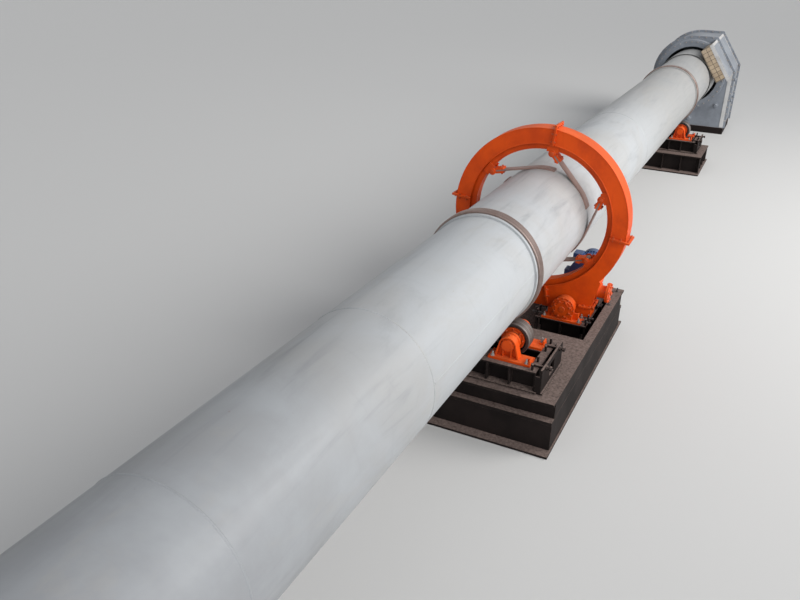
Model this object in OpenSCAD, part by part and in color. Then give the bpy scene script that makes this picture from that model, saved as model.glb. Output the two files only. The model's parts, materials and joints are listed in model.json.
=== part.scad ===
// Rotary kiln: a sloping steel tube that turns on two tyres and four support rollers.
// A girth gear hung on spring plates is driven by a pinion under a sheet-metal cover.
// X runs from the feed end down to the discharge end, Y is to the left, Z is up from the floor.
// All lengths are in millimetres.

/* [Shell] */
// Outer diameter of the kiln shell
shell_od = 900; // [880:5:920]
// Thickness of the shell plate
shell_wall = 14; // [10:1:20]
// Height of the kiln axis over the floor at the feed tyre
axis_h = 1300; // [1280:10:1400]
// Fall of the kiln axis towards the discharge end, per cent
slope = 2; // [1.5:0.1:2.5]
// Shell length beyond the feed tyre, on the feed side
feed_overhang = 5300; // [5000:50:5600]
// Shell length beyond the discharge tyre
discharge_overhang = 2650; // [2600:10:2700]
// Distance of the first welded course joint from the feed tyre
feed_joint = 1920; // [1500:20:2400]
// Distance of the second welded course joint from the feed tyre
middle_joint = 4300; // [3800:50:5000]

/* [Tyres] */
// Distance between the two tyres
tyre_span = 8400; // [8300:50:8450]
// Outer diameter of the tyres
tyre_od = 966; // [956:2:980]
// Width of the tyres
tyre_w = 90; // [70:5:110]
// Width of each stop ring beside a tyre
stop_ring_w = 30; // [20:2:40]
// Height of a stop ring over the shell
stop_ring_h = 16; // [10:1:20]
// Gap between a stop ring and the tyre
stop_ring_gap = 4; // [3:0.5:8]

/* [Rollers] */
// Diameter of the support rollers
roller_d = 280; // [260:5:300]
// Width of the support rollers
roller_w = 130; // [110:5:150]
// Angle of each roller from straight below the axis
roller_angle = 30; // [28:0.5:33]
// Running gap between a roller and its tyre
roller_gap = 0.3; // [0.2:0.05:1]
// Diameter of the roller journals
journal_d = 80; // [60:2:90]

/* [Girth gear] */
// Module of the gear teeth
gear_module = 12; // [11.9:0.05:12.1]
// Number of teeth on the girth gear
gear_teeth = 126; // [124:1:127]
// Face width of the girth gear
gear_w = 110; // [90:5:130]
// Distance of the gear from the feed tyre
gear_x = 1485; // [1450:5:1520]
// Thickness of the gear rim under the teeth
gear_rim = 98; // [90:1:100]
// Flank play between the teeth
tooth_play = 1.6; // [1.2:0.1:2.4]
// Number of spring plates that hang the gear on the shell
spring_count = 6; // [4:1:8]
// Thickness of a spring plate
spring_t = 14; // [10:1:18]
// Width of a spring plate along the axis
spring_w = 90; // [70:5:100]

/* [Pinion] */
// Number of teeth on the pinion
pinion_teeth = 22; // [21:1:22]
// Face width of the pinion
pinion_w = 124; // [110:2:130]
// Angle of the pinion from straight below the axis, towards the right
pinion_angle = 25; // [24:0.5:26]
// Diameter of the pinion shaft
pinion_shaft_d = 80; // [60:2:90]
// Distance of the near pinion bearing from the feed tyre
near_bearing_x = 1215; // [1205:5:1220]

/* [Gear cover] */
// Outer diameter of the gear cover
cover_od = 1682; // [1670:2:1692]
// Diameter of the opening in the side plates
cover_id = 1388; // [1370:2:1400]
// Width of the gear cover along the axis
cover_w = 176; // [170:2:200]
// Thickness of the cover plates
cover_t = 6; // [4:1:8]
// Turn of the cover's joints from the upright
cover_turn = 6; // [0:1:10]
// How far the joint flanges stand out of the rim
cover_flange_h = 42; // [20:2:60]
// How far the joint flanges stand out of the side plates
cover_flange_side = 24; // [15:1:30]

/* [Bases] */
// Distance of the base plates under the kiln axis
base_drop = 850; // [840:2:880]
// Half the width of the main base
base_half_w = 785; // [780:5:820]
// Feed side end of the main base, before the feed tyre
base_near = 370; // [360:5:400]
// Discharge side end of the main base, after the feed tyre
base_far = 2060; // [2050:10:2100]
// Feed side end of the discharge base, before its tyre
far_base_near = 480; // [390:5:520]
// Discharge side end of the discharge base, after its tyre
far_base_far = 440; // [390:5:520]
// Thickness of the top plates
base_plate_t = 20; // [16:2:30]
// How far the deck stands out over the webs at the ends of a base
base_lip = 75; // [60:5:90]
// Height of the girder under the deck of the main base
girder_h = 150; // [120:5:170]
// Start of the well in the main base that the drive stands in, after the feed tyre
well_x = 790; // [780:5:820]
// Half the width of the well
well_half_w = 700; // [690:5:710]
// Depth of the well's floor under the deck
well_depth = 260; // [250:5:280]
// Half the width of the discharge base
far_base_half_w = 745; // [735:5:770]
// Number of bays between the ribs on the ends of the discharge base
far_base_bays = 5; // [3:1:7]

/* [Roller frames] */
// Half the length of a roller frame across the kiln
frame_half_y = 590; // [580:5:600]
// Half the width of a roller frame along the kiln
frame_half_x = 280; // [275:5:300]
// Height from the roller axis down to the bearing feet
bearing_h = 105; // [104:1:115]
// Outer radius of a bearing housing
housing_r = 71; // [68:1:80]
// Length of a bearing housing along the kiln
housing_l = 90; // [80:2:100]
// Distance from the tyre centre to the inner face of a housing
housing_in = 100; // [95:1:110]
// Length of a bearing foot across the kiln
foot_y = 350; // [340:5:360]
// Shift of a bearing foot outwards from the roller axis
foot_shift = 32; // [28:2:40]

/* [Discharge hood] */
// How far the shell reaches into the hood
hood_reach = 150; // [100:10:200]
// Depth of the hood along the kiln
hood_l = 950; // [900:50:1200]
// Width of the hood to the right of the axis
hood_half_w = 750; // [720:10:800]
// Height of the hood's upright walls over the kiln axis
hood_shoulder_rise = 88; // [68:4:116]
// Height of the hood's roof over the kiln axis
hood_rise = 660; // [652:2:662]
// Width of the hood's flat top, right of the axis
hood_top_half = 360; // [355:1:362]
// Thickness of the hood's plates
hood_t = 8; // [6:1:12]
// Height of the dark plinth round the hood
hood_plinth_h = 120; // [80:10:160]
// Radius of the opening round the shell
hood_hole_r = 580; // [560:5:590]

/* [Feed chamber] */
// How far the shell reaches into the feed chamber
chamber_reach = 150; // [100:10:200]
// Depth of the chamber along the kiln
chamber_l = 1000; // [900:50:1200]
// Half the width of the chamber
chamber_half_w = 680; // [660:10:720]
// Height of the chamber's upright walls over the kiln axis
chamber_shoulder_rise = 97; // [47:5:197]
// Height of the chamber's roof over the kiln axis
chamber_rise = 617; // [597:10:697]
// Half the width of the chamber's flat top
chamber_top_half = 300; // [280:10:320]

/* [Hidden] */

orange = [0.72, 0.26, 0.08];
kiln_grey = [0.79, 0.8, 0.81];
bare_steel = [0.49, 0.42, 0.39];
frame_grey = [0.27, 0.25, 0.24];
hood_grey = [0.48, 0.51, 0.55];

slope_deg = atan(slope / 100);
shell_r = shell_od / 2;
tyre_r = tyre_od / 2;
roller_r = roller_d / 2;
roller_c = tyre_r + roller_r + roller_gap;
roller_y = roller_c * sin(roller_angle);
roller_z = -roller_c * cos(roller_angle);
seat_gap = 0.3;
running_gap = 0.05;
feed_end = -feed_overhang;
discharge_end = tyre_span + discharge_overhang;
hood_x = discharge_end - hood_reach;
chamber_x = feed_overhang - chamber_reach;
// Longer than the whole kiln
far = 20 * axis_h;

// Everything that lies along the kiln is drawn in this sloping frame, with its origin on the
// kiln axis at the feed tyre.
module on_axis() {
    translate([0, 0, axis_h]) rotate([0, slope_deg, 0]) children();
}

// Cuts a sloping solid off at the floor
module over_floor() {
    intersection() {
        children();
        block([-far, -far, 0], [far, far, far]);
    }
}

// Cylinder along X from x0 to x1
module rod(r, x0, x1) {
    translate([x0, 0, 0]) rotate([0, 90, 0]) cylinder(h = x1 - x0, r = r, $fn = 96);
}

module tube(r_out, r_in, x0, x1) {
    difference() {
        rod(r_out, x0, x1);
        rod(r_in, x0 - 1, x1 + 1);
    }
}

// Box given by its low and high corners
module block(low, high) {
    translate(low) cube(high - low);
}

// Flat shape in the Y-Z plane, drawn with its first axis along +Y and its second along +Z,
// pulled along X from x0 to x1
module pull_x(x0, x1) {
    translate([x0, 0, 0]) rotate([90, 0, 90]) linear_extrude(height = x1 - x0) children();
}

// Slice of a circle between two angles, counted from +Y towards +Z
module slice(r, a0, a1) {
    steps = ceil((a1 - a0) / 40);
    polygon(concat([[0, 0]], [for (i = [0 : steps]) let (a = a0 + (a1 - a0) * i / steps)
        [r * cos(a), r * sin(a)]]));
}

// Shell, tyres and stop rings

module shell_course(x0, x1) {
    color(kiln_grey) on_axis() tube(shell_r, shell_r - shell_wall, x0, x1);
}

module tyre(x) {
    chamfer = 5;
    color(bare_steel) on_axis() translate([x, 0, 0]) rotate([0, 90, 0])
        rotate_extrude($fn = 120) polygon([
            [shell_r + seat_gap, -tyre_w / 2], [tyre_r - chamfer, -tyre_w / 2],
            [tyre_r, chamfer - tyre_w / 2], [tyre_r, tyre_w / 2 - chamfer],
            [tyre_r - chamfer, tyre_w / 2], [shell_r + seat_gap, tyre_w / 2]]);
}

module stop_rings(x) {
    inner = tyre_w / 2 + stop_ring_gap;
    color(kiln_grey) on_axis() for (side = [-1, 1])
        translate([x, 0, 0]) mirror([side < 0 ? 1 : 0, 0, 0])
            tube(shell_r + stop_ring_h, shell_r + seat_gap, inner, inner + stop_ring_w);
}

// Open sleeve round the hot end of the shell, on small blocks, which cooling air passes under
sleeve_l = 820;
sleeve_gap = 14;
sleeve_t = 6;
module end_sleeve() {
    x1 = hood_x - 20;
    color(kiln_grey) on_axis() {
        tube(shell_r + sleeve_gap + sleeve_t, shell_r + sleeve_gap, x1 - sleeve_l, x1);
        for (a = [22.5 : 45 : 337.5]) difference() {
            rotate([a, 0, 0]) block([x1 - 160, -20, shell_r - 20], [x1 - 80, 20, shell_r + sleeve_gap + 3]);
            rod(shell_r + seat_gap, x1 - 200, x1);
        }
    }
}

// Girth gear, spring plates and pinion

gear_pr = gear_module * gear_teeth / 2;
pinion_pr = gear_module * pinion_teeth / 2;
gear_root = gear_pr - 1.25 * gear_module;
gear_inner = gear_root - gear_rim;
drive_c = gear_pr + pinion_pr;
pinion_y = -drive_c * sin(pinion_angle);
pinion_z = -drive_c * cos(pinion_angle);
pressure = 20;

// Angle in degrees by which an involute has swept at radius r, from base radius rb
function sweep(rb, r) = let (t = sqrt(max(0, r * r / (rb * rb) - 1))) t * 180 / PI - atan(t);

// Half the angle of a tooth at radius r
function tooth_half(teeth, r) = let (pr = gear_module * teeth / 2, rb = pr * cos(pressure))
    (90 - tooth_play * 90 / (PI * gear_module / 2)) / teeth + sweep(rb, pr) - sweep(rb, max(r, rb));

// One flank from root to tip: pairs of radius and half angle
function flank(teeth, steps) = let (pr = gear_module * teeth / 2, rb = pr * cos(pressure),
        root = pr - 1.25 * gear_module, tip = pr + gear_module, low = max(root, rb))
    concat(root < rb ? [[root, tooth_half(teeth, rb)]] : [],
        [for (i = [0 : steps]) let (r = low + (tip - low) * i / steps) [r, tooth_half(teeth, r)]]);

// Outline of a toothed wheel with one tooth centred on angle turn
module teeth_outline(teeth, steps, turn) {
    side = flank(teeth, steps);
    last = len(side) - 1;
    polygon([for (k = [0 : teeth - 1], s = [-1, 1], i = [0 : last])
        let (p = side[s < 0 ? i : last - i], a = turn + k * 360 / teeth + s * p[1])
        [p[0] * cos(a), p[0] * sin(a)]]);
}

// Lugs on the gear's inside carry the outer ends of the spring plates
lug_phase = 96;
lug_r = gear_inner - 30;
lug_pin_r = 14;
lug_w = 24;
lug_t = 7;
mesh_angle = -90 - pinion_angle;

module girth_gear() {
    color(orange) on_axis() translate([gear_x, 0, 0]) {
        difference() {
            pull_x(-gear_w / 2, gear_w / 2) teeth_outline(gear_teeth, 3, mesh_angle);
            rod(gear_inner, -gear_w, gear_w);
            for (side = [-1, 1]) scale([side, 1, 1])
                tube(gear_root - 8, gear_inner + 8, gear_w / 2 - 6, gear_w / 2 + 1);
        }
        for (k = [0 : spring_count - 1]) rotate([lug_phase + k * 360 / spring_count, 0, 0])
            for (side = [-1, 1]) gear_lug(side);
    }
}

// One cheek of a lug pair, pointing inwards from the rim at angle zero
module gear_lug(side) {
    x0 = side * (spring_w / 2 + 1);
    x1 = side * (spring_w / 2 + 1 + lug_t);
    difference() {
        pull_x(min(x0, x1), max(x0, x1)) union() {
            translate([lug_r, 0]) circle(r = lug_w, $fn = 48);
            polygon([[lug_r - 6, -lug_w + 2], [gear_inner + 5, -lug_w - 16],
                [gear_inner + 5, lug_w + 16], [lug_r - 6, lug_w - 2]]);
        }
        translate([0, lug_r, 0]) rod(lug_pin_r + running_gap, -gear_w, gear_w);
    }
}

// Spring plate from the lug pin to its tangent point, then wrapped on the shell
wrap_deg = 24;
eye_r = lug_pin_r + 10;
plate_mid_r = shell_r + seat_gap + spring_t / 2;
plate_deg = acos(plate_mid_r / lug_r);
plate_run = sqrt(lug_r * lug_r - plate_mid_r * plate_mid_r);

module spring_plates() {
    color([0.55, 0.42, 0.38]) on_axis() translate([gear_x, 0, 0])
        for (k = [0 : spring_count - 1]) rotate([lug_phase + k * 360 / spring_count, 0, 0])
            spring_plate();
}

module spring_plate() {
    translate([0, lug_r, 0]) rod(lug_pin_r, -spring_w / 2 - 14, spring_w / 2 + 14);
    difference() {
        pull_x(-spring_w / 2, spring_w / 2) {
            rotate(plate_deg) translate([plate_mid_r - spring_t / 2, -plate_run])
                square([spring_t, plate_run]);
            difference() {
                rotate(plate_deg) slice(shell_r + 3 * spring_t, 0, wrap_deg);
                circle(r = shell_r + seat_gap, $fn = 180);
                rotate(plate_deg) difference() {
                    slice(shell_r + 4 * spring_t, -5, wrap_deg + 5);
                    circle(r = shell_r + seat_gap + spring_t, $fn = 180);
                }
            }
            translate([lug_r, 0]) circle(r = eye_r, $fn = 48);
        }
        translate([0, lug_r, 0]) rod(lug_pin_r - 0.5, -gear_w, gear_w);
    }
}

shaft_r = pinion_shaft_d / 2;
far_bearing_x = gear_x + cover_w / 2 + 50;
bearing_l = 90;
near_bearing_l = 120;
coupling_x = far_bearing_x + bearing_l + 20;
reducer_x = coupling_x + 90;

module at_pinion() {
    on_axis() translate([0, pinion_y, pinion_z]) children();
}

module pinion() {
    // The gap between two pinion teeth faces the gear
    turn = 90 - pinion_angle + 180 / pinion_teeth;
    color(bare_steel) at_pinion() {
        translate([gear_x, 0, 0]) pull_x(-pinion_w / 2, pinion_w / 2)
            teeth_outline(pinion_teeth, 4, turn);
        rod(shaft_r, near_bearing_x + 22, coupling_x + 30);
        rod(shaft_r + 12, near_bearing_x + near_bearing_l + 8, gear_x - cover_w / 2 - 30);
    }
}

module coupling() {
    color(orange) at_pinion() difference() {
        union() {
            rod(shaft_r + 24, coupling_x, coupling_x + 80);
            rod(shaft_r + 52, coupling_x + 26, coupling_x + 38);
            rod(shaft_r + 52, coupling_x + 42, coupling_x + 54);
            rod(shaft_r + 48, coupling_x + 38, coupling_x + 42);
        }
        rod(shaft_r, coupling_x - 1, coupling_x + 30);
    }
}

// Support rollers

journal_r = journal_d / 2;
journal_end = housing_in + housing_l - 18;

module roller(x, side) {
    rim = 26;
    hub = journal_r + 24;
    dish = 34;
    half = roller_w / 2;
    color(bare_steel) on_axis() translate([x, side * roller_y, roller_z]) rotate([0, 90, 0])
        rotate_extrude($fn = 96) polygon([
            [0, -journal_end], [journal_r, -journal_end], [journal_r, -half - 12],
            [hub, -half - 12], [hub, dish - half], [roller_r - rim - 6, dish - half],
            [roller_r - rim, 6 - half], [roller_r - rim, -half], [roller_r - 5, -half],
            [roller_r, 5 - half], [roller_r, half - 5], [roller_r - 5, half],
            [roller_r - rim, half], [roller_r - rim, half - 6], [roller_r - rim - 6, half - dish],
            [hub, half - dish], [hub, half + 12], [journal_r, half + 12],
            [journal_r, journal_end], [0, journal_end]]);
}

// Bearing housings of the support rollers

foot_t = 20;
foot_z = roller_z - bearing_h;
foot_in = housing_in - 20;
foot_out = housing_in + housing_l + 36;
rib_t = 12;

// Half outline of the arch: a circle over a wider foot, joined by tangent lines
module arch(r, foot, h) {
    span = sqrt(foot * foot + h * h);
    lean = acos(r / span) + atan2(-h, foot);
    union() {
        circle(r = r, $fn = 72);
        polygon([[r * cos(lean), r * sin(lean)], [foot, -h], [-foot, -h], [-r * cos(lean), r * sin(lean)]]);
    }
}

module housing() {
    x0 = housing_in;
    x1 = housing_in + housing_l;
    foot = housing_r + 30;
    difference() {
        union() {
            // Inner collar, web, raised border and the two ribs
            rod(housing_r + 6, x0 - 15, x0 + 14);
            pull_x(x0 + 14, x1 - 34) arch(housing_r - 8, foot - 10, bearing_h);
            pull_x(x0 + 14, x1) difference() {
                arch(housing_r, foot, bearing_h);
                arch(housing_r - 10, foot - 14, bearing_h + 1);
            }
            intersection() {
                pull_x(x0 + 14, x1) arch(housing_r - 1, foot - 1, bearing_h);
                for (s = [-1, 1]) block([x0, s * 34 - rib_t / 2, -bearing_h], [x1 - 6, s * 34 + rib_t / 2, 0]);
            }
            rod(journal_r + 14, x0, x1 - 4);
            rod(journal_r + 7, x1 - 5, x1 + 6);
        }
        rod(journal_r + running_gap, x0 - 20, x1 - 12);
    }
}

module bearings(x, side) {
    plate_y = (roller_y + foot_shift) * side;
    bolt_x = foot_out - 21;
    bolt_y = foot_y / 2 - 33;
    color(orange) on_axis() for (end = [-1, 1]) translate([x, 0, 0]) scale([end, 1, 1]) {
        translate([0, side * roller_y, roller_z]) housing();
        difference() {
            block([foot_in, plate_y - foot_y / 2, foot_z - foot_t], [foot_out, plate_y + foot_y / 2, foot_z]);
            for (s = [-1, 1]) translate([bolt_x, plate_y + s * bolt_y, foot_z - foot_t - 1])
                cylinder(h = foot_t + 2, r = 11, $fn = 32);
        }
    }
}

// Roller frames with the screws that set the bearings

frame_top = foot_z - foot_t;
frame_plate = 14;
beam_in = 70;

module roller_frame(x) {
    z0 = -base_drop;
    z1 = frame_top;
    web_x = frame_half_x - 82;
    color(frame_grey) on_axis() translate([x, 0, 0]) {
        for (end = [-1, 1]) scale([end, 1, 1]) {
            block([beam_in, -frame_half_y, z1 - frame_plate], [frame_half_x, frame_half_y, z1]);
            block([beam_in - 4, -frame_half_y - 20, z0], [frame_half_x + 14, frame_half_y + 20, z0 + frame_plate]);
            block([web_x, -frame_half_y, z0 + frame_plate], [web_x + frame_plate, frame_half_y, z1 - frame_plate]);
            for (y = [-frame_half_y, -380, -190, 0, 190, 380, frame_half_y - frame_plate])
                block([web_x, y, z0], [frame_half_x - 6, y + frame_plate, z1]);
        }
        for (side = [-1, 1]) scale([1, side, 1]) {
            block([-beam_in, frame_half_y - 70, z1 - frame_plate], [beam_in, frame_half_y, z1]);
            block([-beam_in, frame_half_y - 90, z0], [beam_in, frame_half_y + 20, z0 + frame_plate]);
            block([-web_x, frame_half_y - 40, z0], [web_x, frame_half_y - 40 + frame_plate, z1]);
        }
    }
}

module adjusters(x) {
    z0 = -base_drop + frame_plate;
    z1 = frame_top + foot_t + 14;
    y0 = frame_half_y + 36;
    screw_z = frame_top + foot_t / 2 + 2;
    foot_edge = roller_y + foot_shift + foot_y / 2 + seat_gap;
    color(frame_grey) on_axis() translate([x, 0, 0]) for (side = [-1, 1]) scale([1, side, 1]) {
        difference() {
            union() {
                block([-frame_half_x, y0, -base_drop], [frame_half_x, y0 + 16, z1]);
                block([-frame_half_x, frame_half_y + 20, -base_drop], [frame_half_x, y0 + 30, z0]);
                for (px = [-frame_half_x, -110, 96, frame_half_x - 14])
                    block([px, frame_half_y, z0], [px + 14, y0, frame_top - 30]);
            }
            block([-60, y0 - 1, -base_drop + 60], [60, y0 + 17, z1 - 50]);
        }
        for (px = [-180, 180]) translate([px, 0, screw_z]) {
            rotate([-90, 0, 0]) translate([0, 0, foot_edge]) cylinder(h = y0 + 62 - foot_edge, r = 11, $fn = 32);
            translate([0, y0 + 42, 0]) rotate([-90, 0, 0]) cylinder(h = 20, r = 20, $fn = 6);
            translate([0, y0 + 16, 0]) rotate([-90, 0, 0]) cylinder(h = 14, r = 20, $fn = 6);
        }
    }
}

// Bases. The main one has a deck on a girder over plain walls, and a well for the drive.

base_wall = 14;
base_flange_t = 30;
base_flange_w = base_lip + base_wall / 2 - 4;
base_rib_t = 12;
floor_lip = 75;
floor_flange_w = 160;

module main_base() {
    x0 = -base_near;
    x1 = base_far;
    deck = -base_drop - base_plate_t;
    flange = deck - girder_h;
    well_z = -base_drop - well_depth;
    well_end = x1 - base_lip - base_wall;
    w = base_half_w;
    color(frame_grey) {
        over_floor() on_axis() {
            difference() {
                block([x0, -w, deck], [x1, w, -base_drop]);
                block([well_x, -well_half_w, deck - 1], [well_end - 8, well_half_w, 1 - base_drop]);
            }
            ring_box(x0 + base_lip, x1 - base_lip, w - 5, flange, deck, base_wall);
            ring_box(x0 + 4, x1 - 4, w - 4, flange - base_flange_t, flange, base_flange_w);
            ring_box(x0 + 20, x1 - 20, w - 5, under_floor, flange - base_flange_t, base_wall);
            // Floor and near wall of the well
            block([well_x - base_wall, base_wall - w, well_z - base_flange_t], [well_end, w - base_wall, well_z]);
            block([well_x - base_wall, base_wall - w, well_z], [well_x, w - base_wall, deck]);
            for (side = [-1, 1]) scale([1, side, 1])
                block([well_x - base_wall, well_half_w, well_z], [well_end, well_half_w + base_wall, deck]);
        }
        floor_flange(x0, x1, w, [0, gear_x]);
    }
}

module discharge_base() {
    x0 = tyre_span - far_base_near;
    x1 = tyre_span + far_base_far;
    deck = -base_drop - base_plate_t;
    w = far_base_half_w;
    low = under_floor;
    rib_in = base_rib_t / 2 + 2;
    side_bays = 3;
    color(frame_grey) {
        over_floor() on_axis() {
            block([x0, -w, deck], [x1, w, -base_drop]);
            ring_box(x0 + base_lip, x1 - base_lip, w - base_lip, low, deck, base_wall);
            for (i = [0 : far_base_bays], x = [x0 + base_rib_t, x1 - base_lip - base_wall])
                translate([x, rib_in - w + (2 * (w - rib_in) - base_rib_t) * i / far_base_bays, low])
                    cube([base_lip, base_rib_t, deck + 1 - low]);
            for (i = [0 : side_bays], side = [-1, 1]) scale([1, side, 1])
                translate([x0 + base_lip + base_rib_t
                    + (x1 - x0 - 2 * base_lip - 3 * base_rib_t) * i / side_bays, w - base_lip - base_wall, low])
                    cube([base_rib_t, base_lip + base_wall - base_rib_t, deck + 1 - low]);
        }
        floor_flange(x0, x1, w, [tyre_span]);
    }
}

// Flange round a base and sills across it, flat on the floor
module floor_flange(x0, x1, w, sills) {
    ring_box(floor_x(x0) - floor_lip, floor_x(x1) + floor_lip, w + 8, 0, base_plate_t, floor_flange_w);
    for (x = sills) block([floor_x(x) - 60, -w + floor_lip, 0], [floor_x(x) + 60, w - floor_lip, base_plate_t]);
}

// Where the sloping upright through x on the kiln axis meets the floor
function floor_x(x) = x * cos(slope_deg) - (axis_h - x * sin(slope_deg)) * tan(slope_deg);

// Depth in the sloping frame that lies under the floor everywhere
under_floor = -axis_h - 200;

// Four walls of thickness t round the given outline
module ring_box(x0, x1, w, z0, z1, t) {
    difference() {
        block([x0, -w, z0], [x1, w, z1]);
        block([x0 + t, -w + t, z0 - 1], [x1 - t, w - t, z1 + 1]);
    }
}

// Drive: frame, pinion bearings, reducer and motor

bearing_drop = 106;
drive_foot_z = pinion_z - bearing_drop;
drive_top = drive_foot_z - foot_t;
drive_half_y = 248;
drive_end = base_far - base_lip - base_wall - 12;
drive_t = 14;

// The frame carries the pinion bearings, the reducer and the pinion box, and is open under the gear
module drive_frame() {
    z0 = -base_drop - well_depth;
    x0 = near_bearing_x - 12;
    gap0 = gear_x - cover_w / 2 - 6;
    gap1 = gear_x + cover_w / 2 + 6;
    rib = 62;
    color(frame_grey) on_axis() translate([0, pinion_y, 0]) {
        difference() {
            block([x0, -drive_half_y, drive_top - drive_t], [drive_end, drive_half_y, drive_top]);
            block([gap0, 40 - drive_half_y, drive_top - drive_t - 1], [gap1, drive_half_y + 1, drive_top + 1]);
        }
        difference() {
            block([x0 - 8, -drive_half_y - 8, z0], [drive_end + 8, drive_half_y + 8, z0 + drive_t]);
            block([gap0, 40 - drive_half_y, z0 - 1], [gap1, drive_half_y + 9, z0 + drive_t + 1]);
        }
        block([x0 + rib, rib - drive_half_y, z0], [x0 + rib + drive_t, drive_half_y - rib, drive_top - drive_t]);
        for (y = [-drive_half_y + 20, drive_half_y - rib])
            block([x0 + rib, y, z0 + 1], [y < 0 ? drive_end - rib : gap0, y + drive_t, drive_top - 1]);
        block([gap1, drive_half_y - rib, z0 + 1], [drive_end - rib, drive_half_y - rib + drive_t, drive_top - 1]);
        for (y = [-drive_half_y + 3, -drive_t / 2, drive_half_y - 3 - drive_t])
            block([x0 + 3, y, z0 + 1], [x0 + rib + 1, y + drive_t, drive_top - 1]);
        for (x = [gap0 - drive_t, gap1, 1750, drive_end - drive_t])
            block([x, -drive_half_y + 4, z0 + 1], [x + drive_t, drive_half_y - 4, drive_top - 1]);
    }
}

module pinion_bearing(x, l) {
    r = 104;
    difference() {
        union() {
            rod(r, x + 14, x + l);
            rod(r + 8, x + 14, x + 30);
            rod(r - 12, x, x + 15);
            rod(r - 34, x - 5, x + 2);
            block([x + 20, -r + 6, -bearing_drop], [x + l - 8, r - 6, 0]);
            for (y = [-150, 138]) block([x + l / 2 - 6, y, -bearing_drop], [x + l - 12, y + 12, -50]);
            block([x + l / 2 - 6, -150, -bearing_drop], [x + l / 2 + 8, 150, -40]);
            block([x - 4, -190, -bearing_drop - foot_t], [x + l + 20, 190, -bearing_drop]);
        }
        rod(shaft_r + running_gap, x + 16, x + l + 30);
    }
}

module pinion_bearings() {
    color(orange) at_pinion() {
        pinion_bearing(near_bearing_x, near_bearing_l);
        difference() {
            pinion_bearing(far_bearing_x, bearing_l - 20);
            rod(shaft_r + running_gap, far_bearing_x - 30, far_bearing_x + 40);
        }
    }
}

reducer_l = 130;
module reducer() {
    l = reducer_l;
    color([0.16, 0.22, 0.34]) at_pinion() difference() {
        union() {
            block([reducer_x, -190, -bearing_drop - foot_t], [reducer_x + l, 190, -bearing_drop + 4]);
            block([reducer_x + 10, -170, -bearing_drop], [reducer_x + l - 10, 170, 150]);
            rod(118, reducer_x + 6, reducer_x + l - 6);
            translate([0, 0, 150]) rod(120, reducer_x + 10, reducer_x + l - 10);
            rod(70, reducer_x - 4, reducer_x + 8);
        }
        rod(shaft_r + 0.5, reducer_x - 10, reducer_x + 20);
    }
}

motor_z = 110;
module motor() {
    l = 400;
    x0 = reducer_x + reducer_l - 6;
    color([0.2, 0.28, 0.42]) at_pinion() translate([0, 0, motor_z]) {
        rod(140, x0, x0 + 20);
        rod(100, x0 + 19, x0 + l);
        for (a = [0 : 15 : 345]) rotate([a, 0, 0])
            block([x0 + 60, -2.5, 96], [x0 + l - 80, 2.5, 118]);
        rod(116, x0 + l - 70, x0 + l + 10);
        block([x0 + 110, 60, 60], [x0 + 230, 150, 140]);
    }
}

// Gear cover

cover_r = cover_od / 2;
cover_in = cover_id / 2;
cover_half = cover_w / 2;
split_top = 90 + cover_turn;
split_left = cover_turn;
split_right = 180 + cover_turn + 1;
split_bottom = 258;
box_floor = drive_top + seat_gap;
box_right = -664;
box_right_low = -608;
box_bend_z = -545;
box_joint_z = -805;
box_low = -962;
skirt_z = -892;

// Outline of the pinion box, pulled in by inset and left open below
module box_outline(inset) {
    down = inset > 0 ? 10 : 0;
    polygon([[-100, -640], [-100, box_low - down], [inset - 576, box_low - down],
        [inset - 576, box_floor + inset], [box_right_low + inset, box_floor + inset],
        [box_right_low + inset, box_joint_z], [box_right + inset, box_bend_z], [-560, -400]]);
}

// Straight skirt under the ring, left of the pinion box
module skirt_outline(inset) {
    polygon([[-260, -640], [-260, skirt_z + inset], [190 - inset, skirt_z + inset],
        [262 - inset, -640]]);
}

// Part of the ring between two angles, with its flanges at both ends
module cover_part(a0, a1) {
    gap = 0.4;
    translate([gear_x, 0, 0]) {
        intersection() {
            cover_ring();
            pull_x(-cover_half - 1, cover_half + 1) slice(2 * cover_r, a0, a1);
        }
        rotate([a0, 0, 0]) cover_flange(gap);
        rotate([a1, 0, 0]) cover_flange(-gap - cover_flange_t);
    }
}

module cover_ring() {
    difference() {
        tube(cover_r, cover_in, -cover_half, cover_half);
        tube(cover_r - cover_t, cover_in - 10, -cover_half + cover_t, cover_half - cover_t);
    }
}

// Joint flange in the plane of the axis, standing up from side y
cover_flange_t = 8;
module cover_flange(z) {
    difference() {
        block([-cover_half - cover_flange_side, cover_in, z],
            [cover_half + cover_flange_side, cover_r + cover_flange_h, z + cover_flange_t]);
        block([-cover_half + cover_t + 3, cover_in - 1, z - 1],
            [cover_half - cover_t - 3, cover_r - cover_t - 4, z + cover_flange_t + 1]);
    }
}

module cover_top_left() {
    color(orange) on_axis() cover_part(split_left, split_top);
}

module cover_top_right() {
    color(orange) on_axis() cover_part(split_top, split_right);
}

// Part of the ring that runs out into another outline: child 0 outside, child 1 inside
module cover_extended(a0, a1) {
    difference() {
        pull_x(-cover_half, cover_half) intersection() {
            union() {
                circle(r = cover_r, $fn = 96);
                children(0);
            }
            slice(3000, a0, a1);
        }
        pull_x(-cover_half + cover_t, cover_half - cover_t) union() {
            circle(r = cover_r - cover_t, $fn = 96);
            children(1);
        }
        rod(cover_in, -cover_half - 1, cover_half + 1);
    }
}

module cover_bottom_left() {
    color(orange) on_axis() translate([gear_x, 0, 0]) {
        cover_extended(split_bottom, 360 + split_left) {
            skirt_outline(0);
            skirt_outline(cover_t);
        }
        rotate([split_bottom, 0, 0]) cover_flange(0.4);
        rotate([split_left, 0, 0]) cover_flange(-0.4 - cover_flange_t);
    }
}

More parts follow.
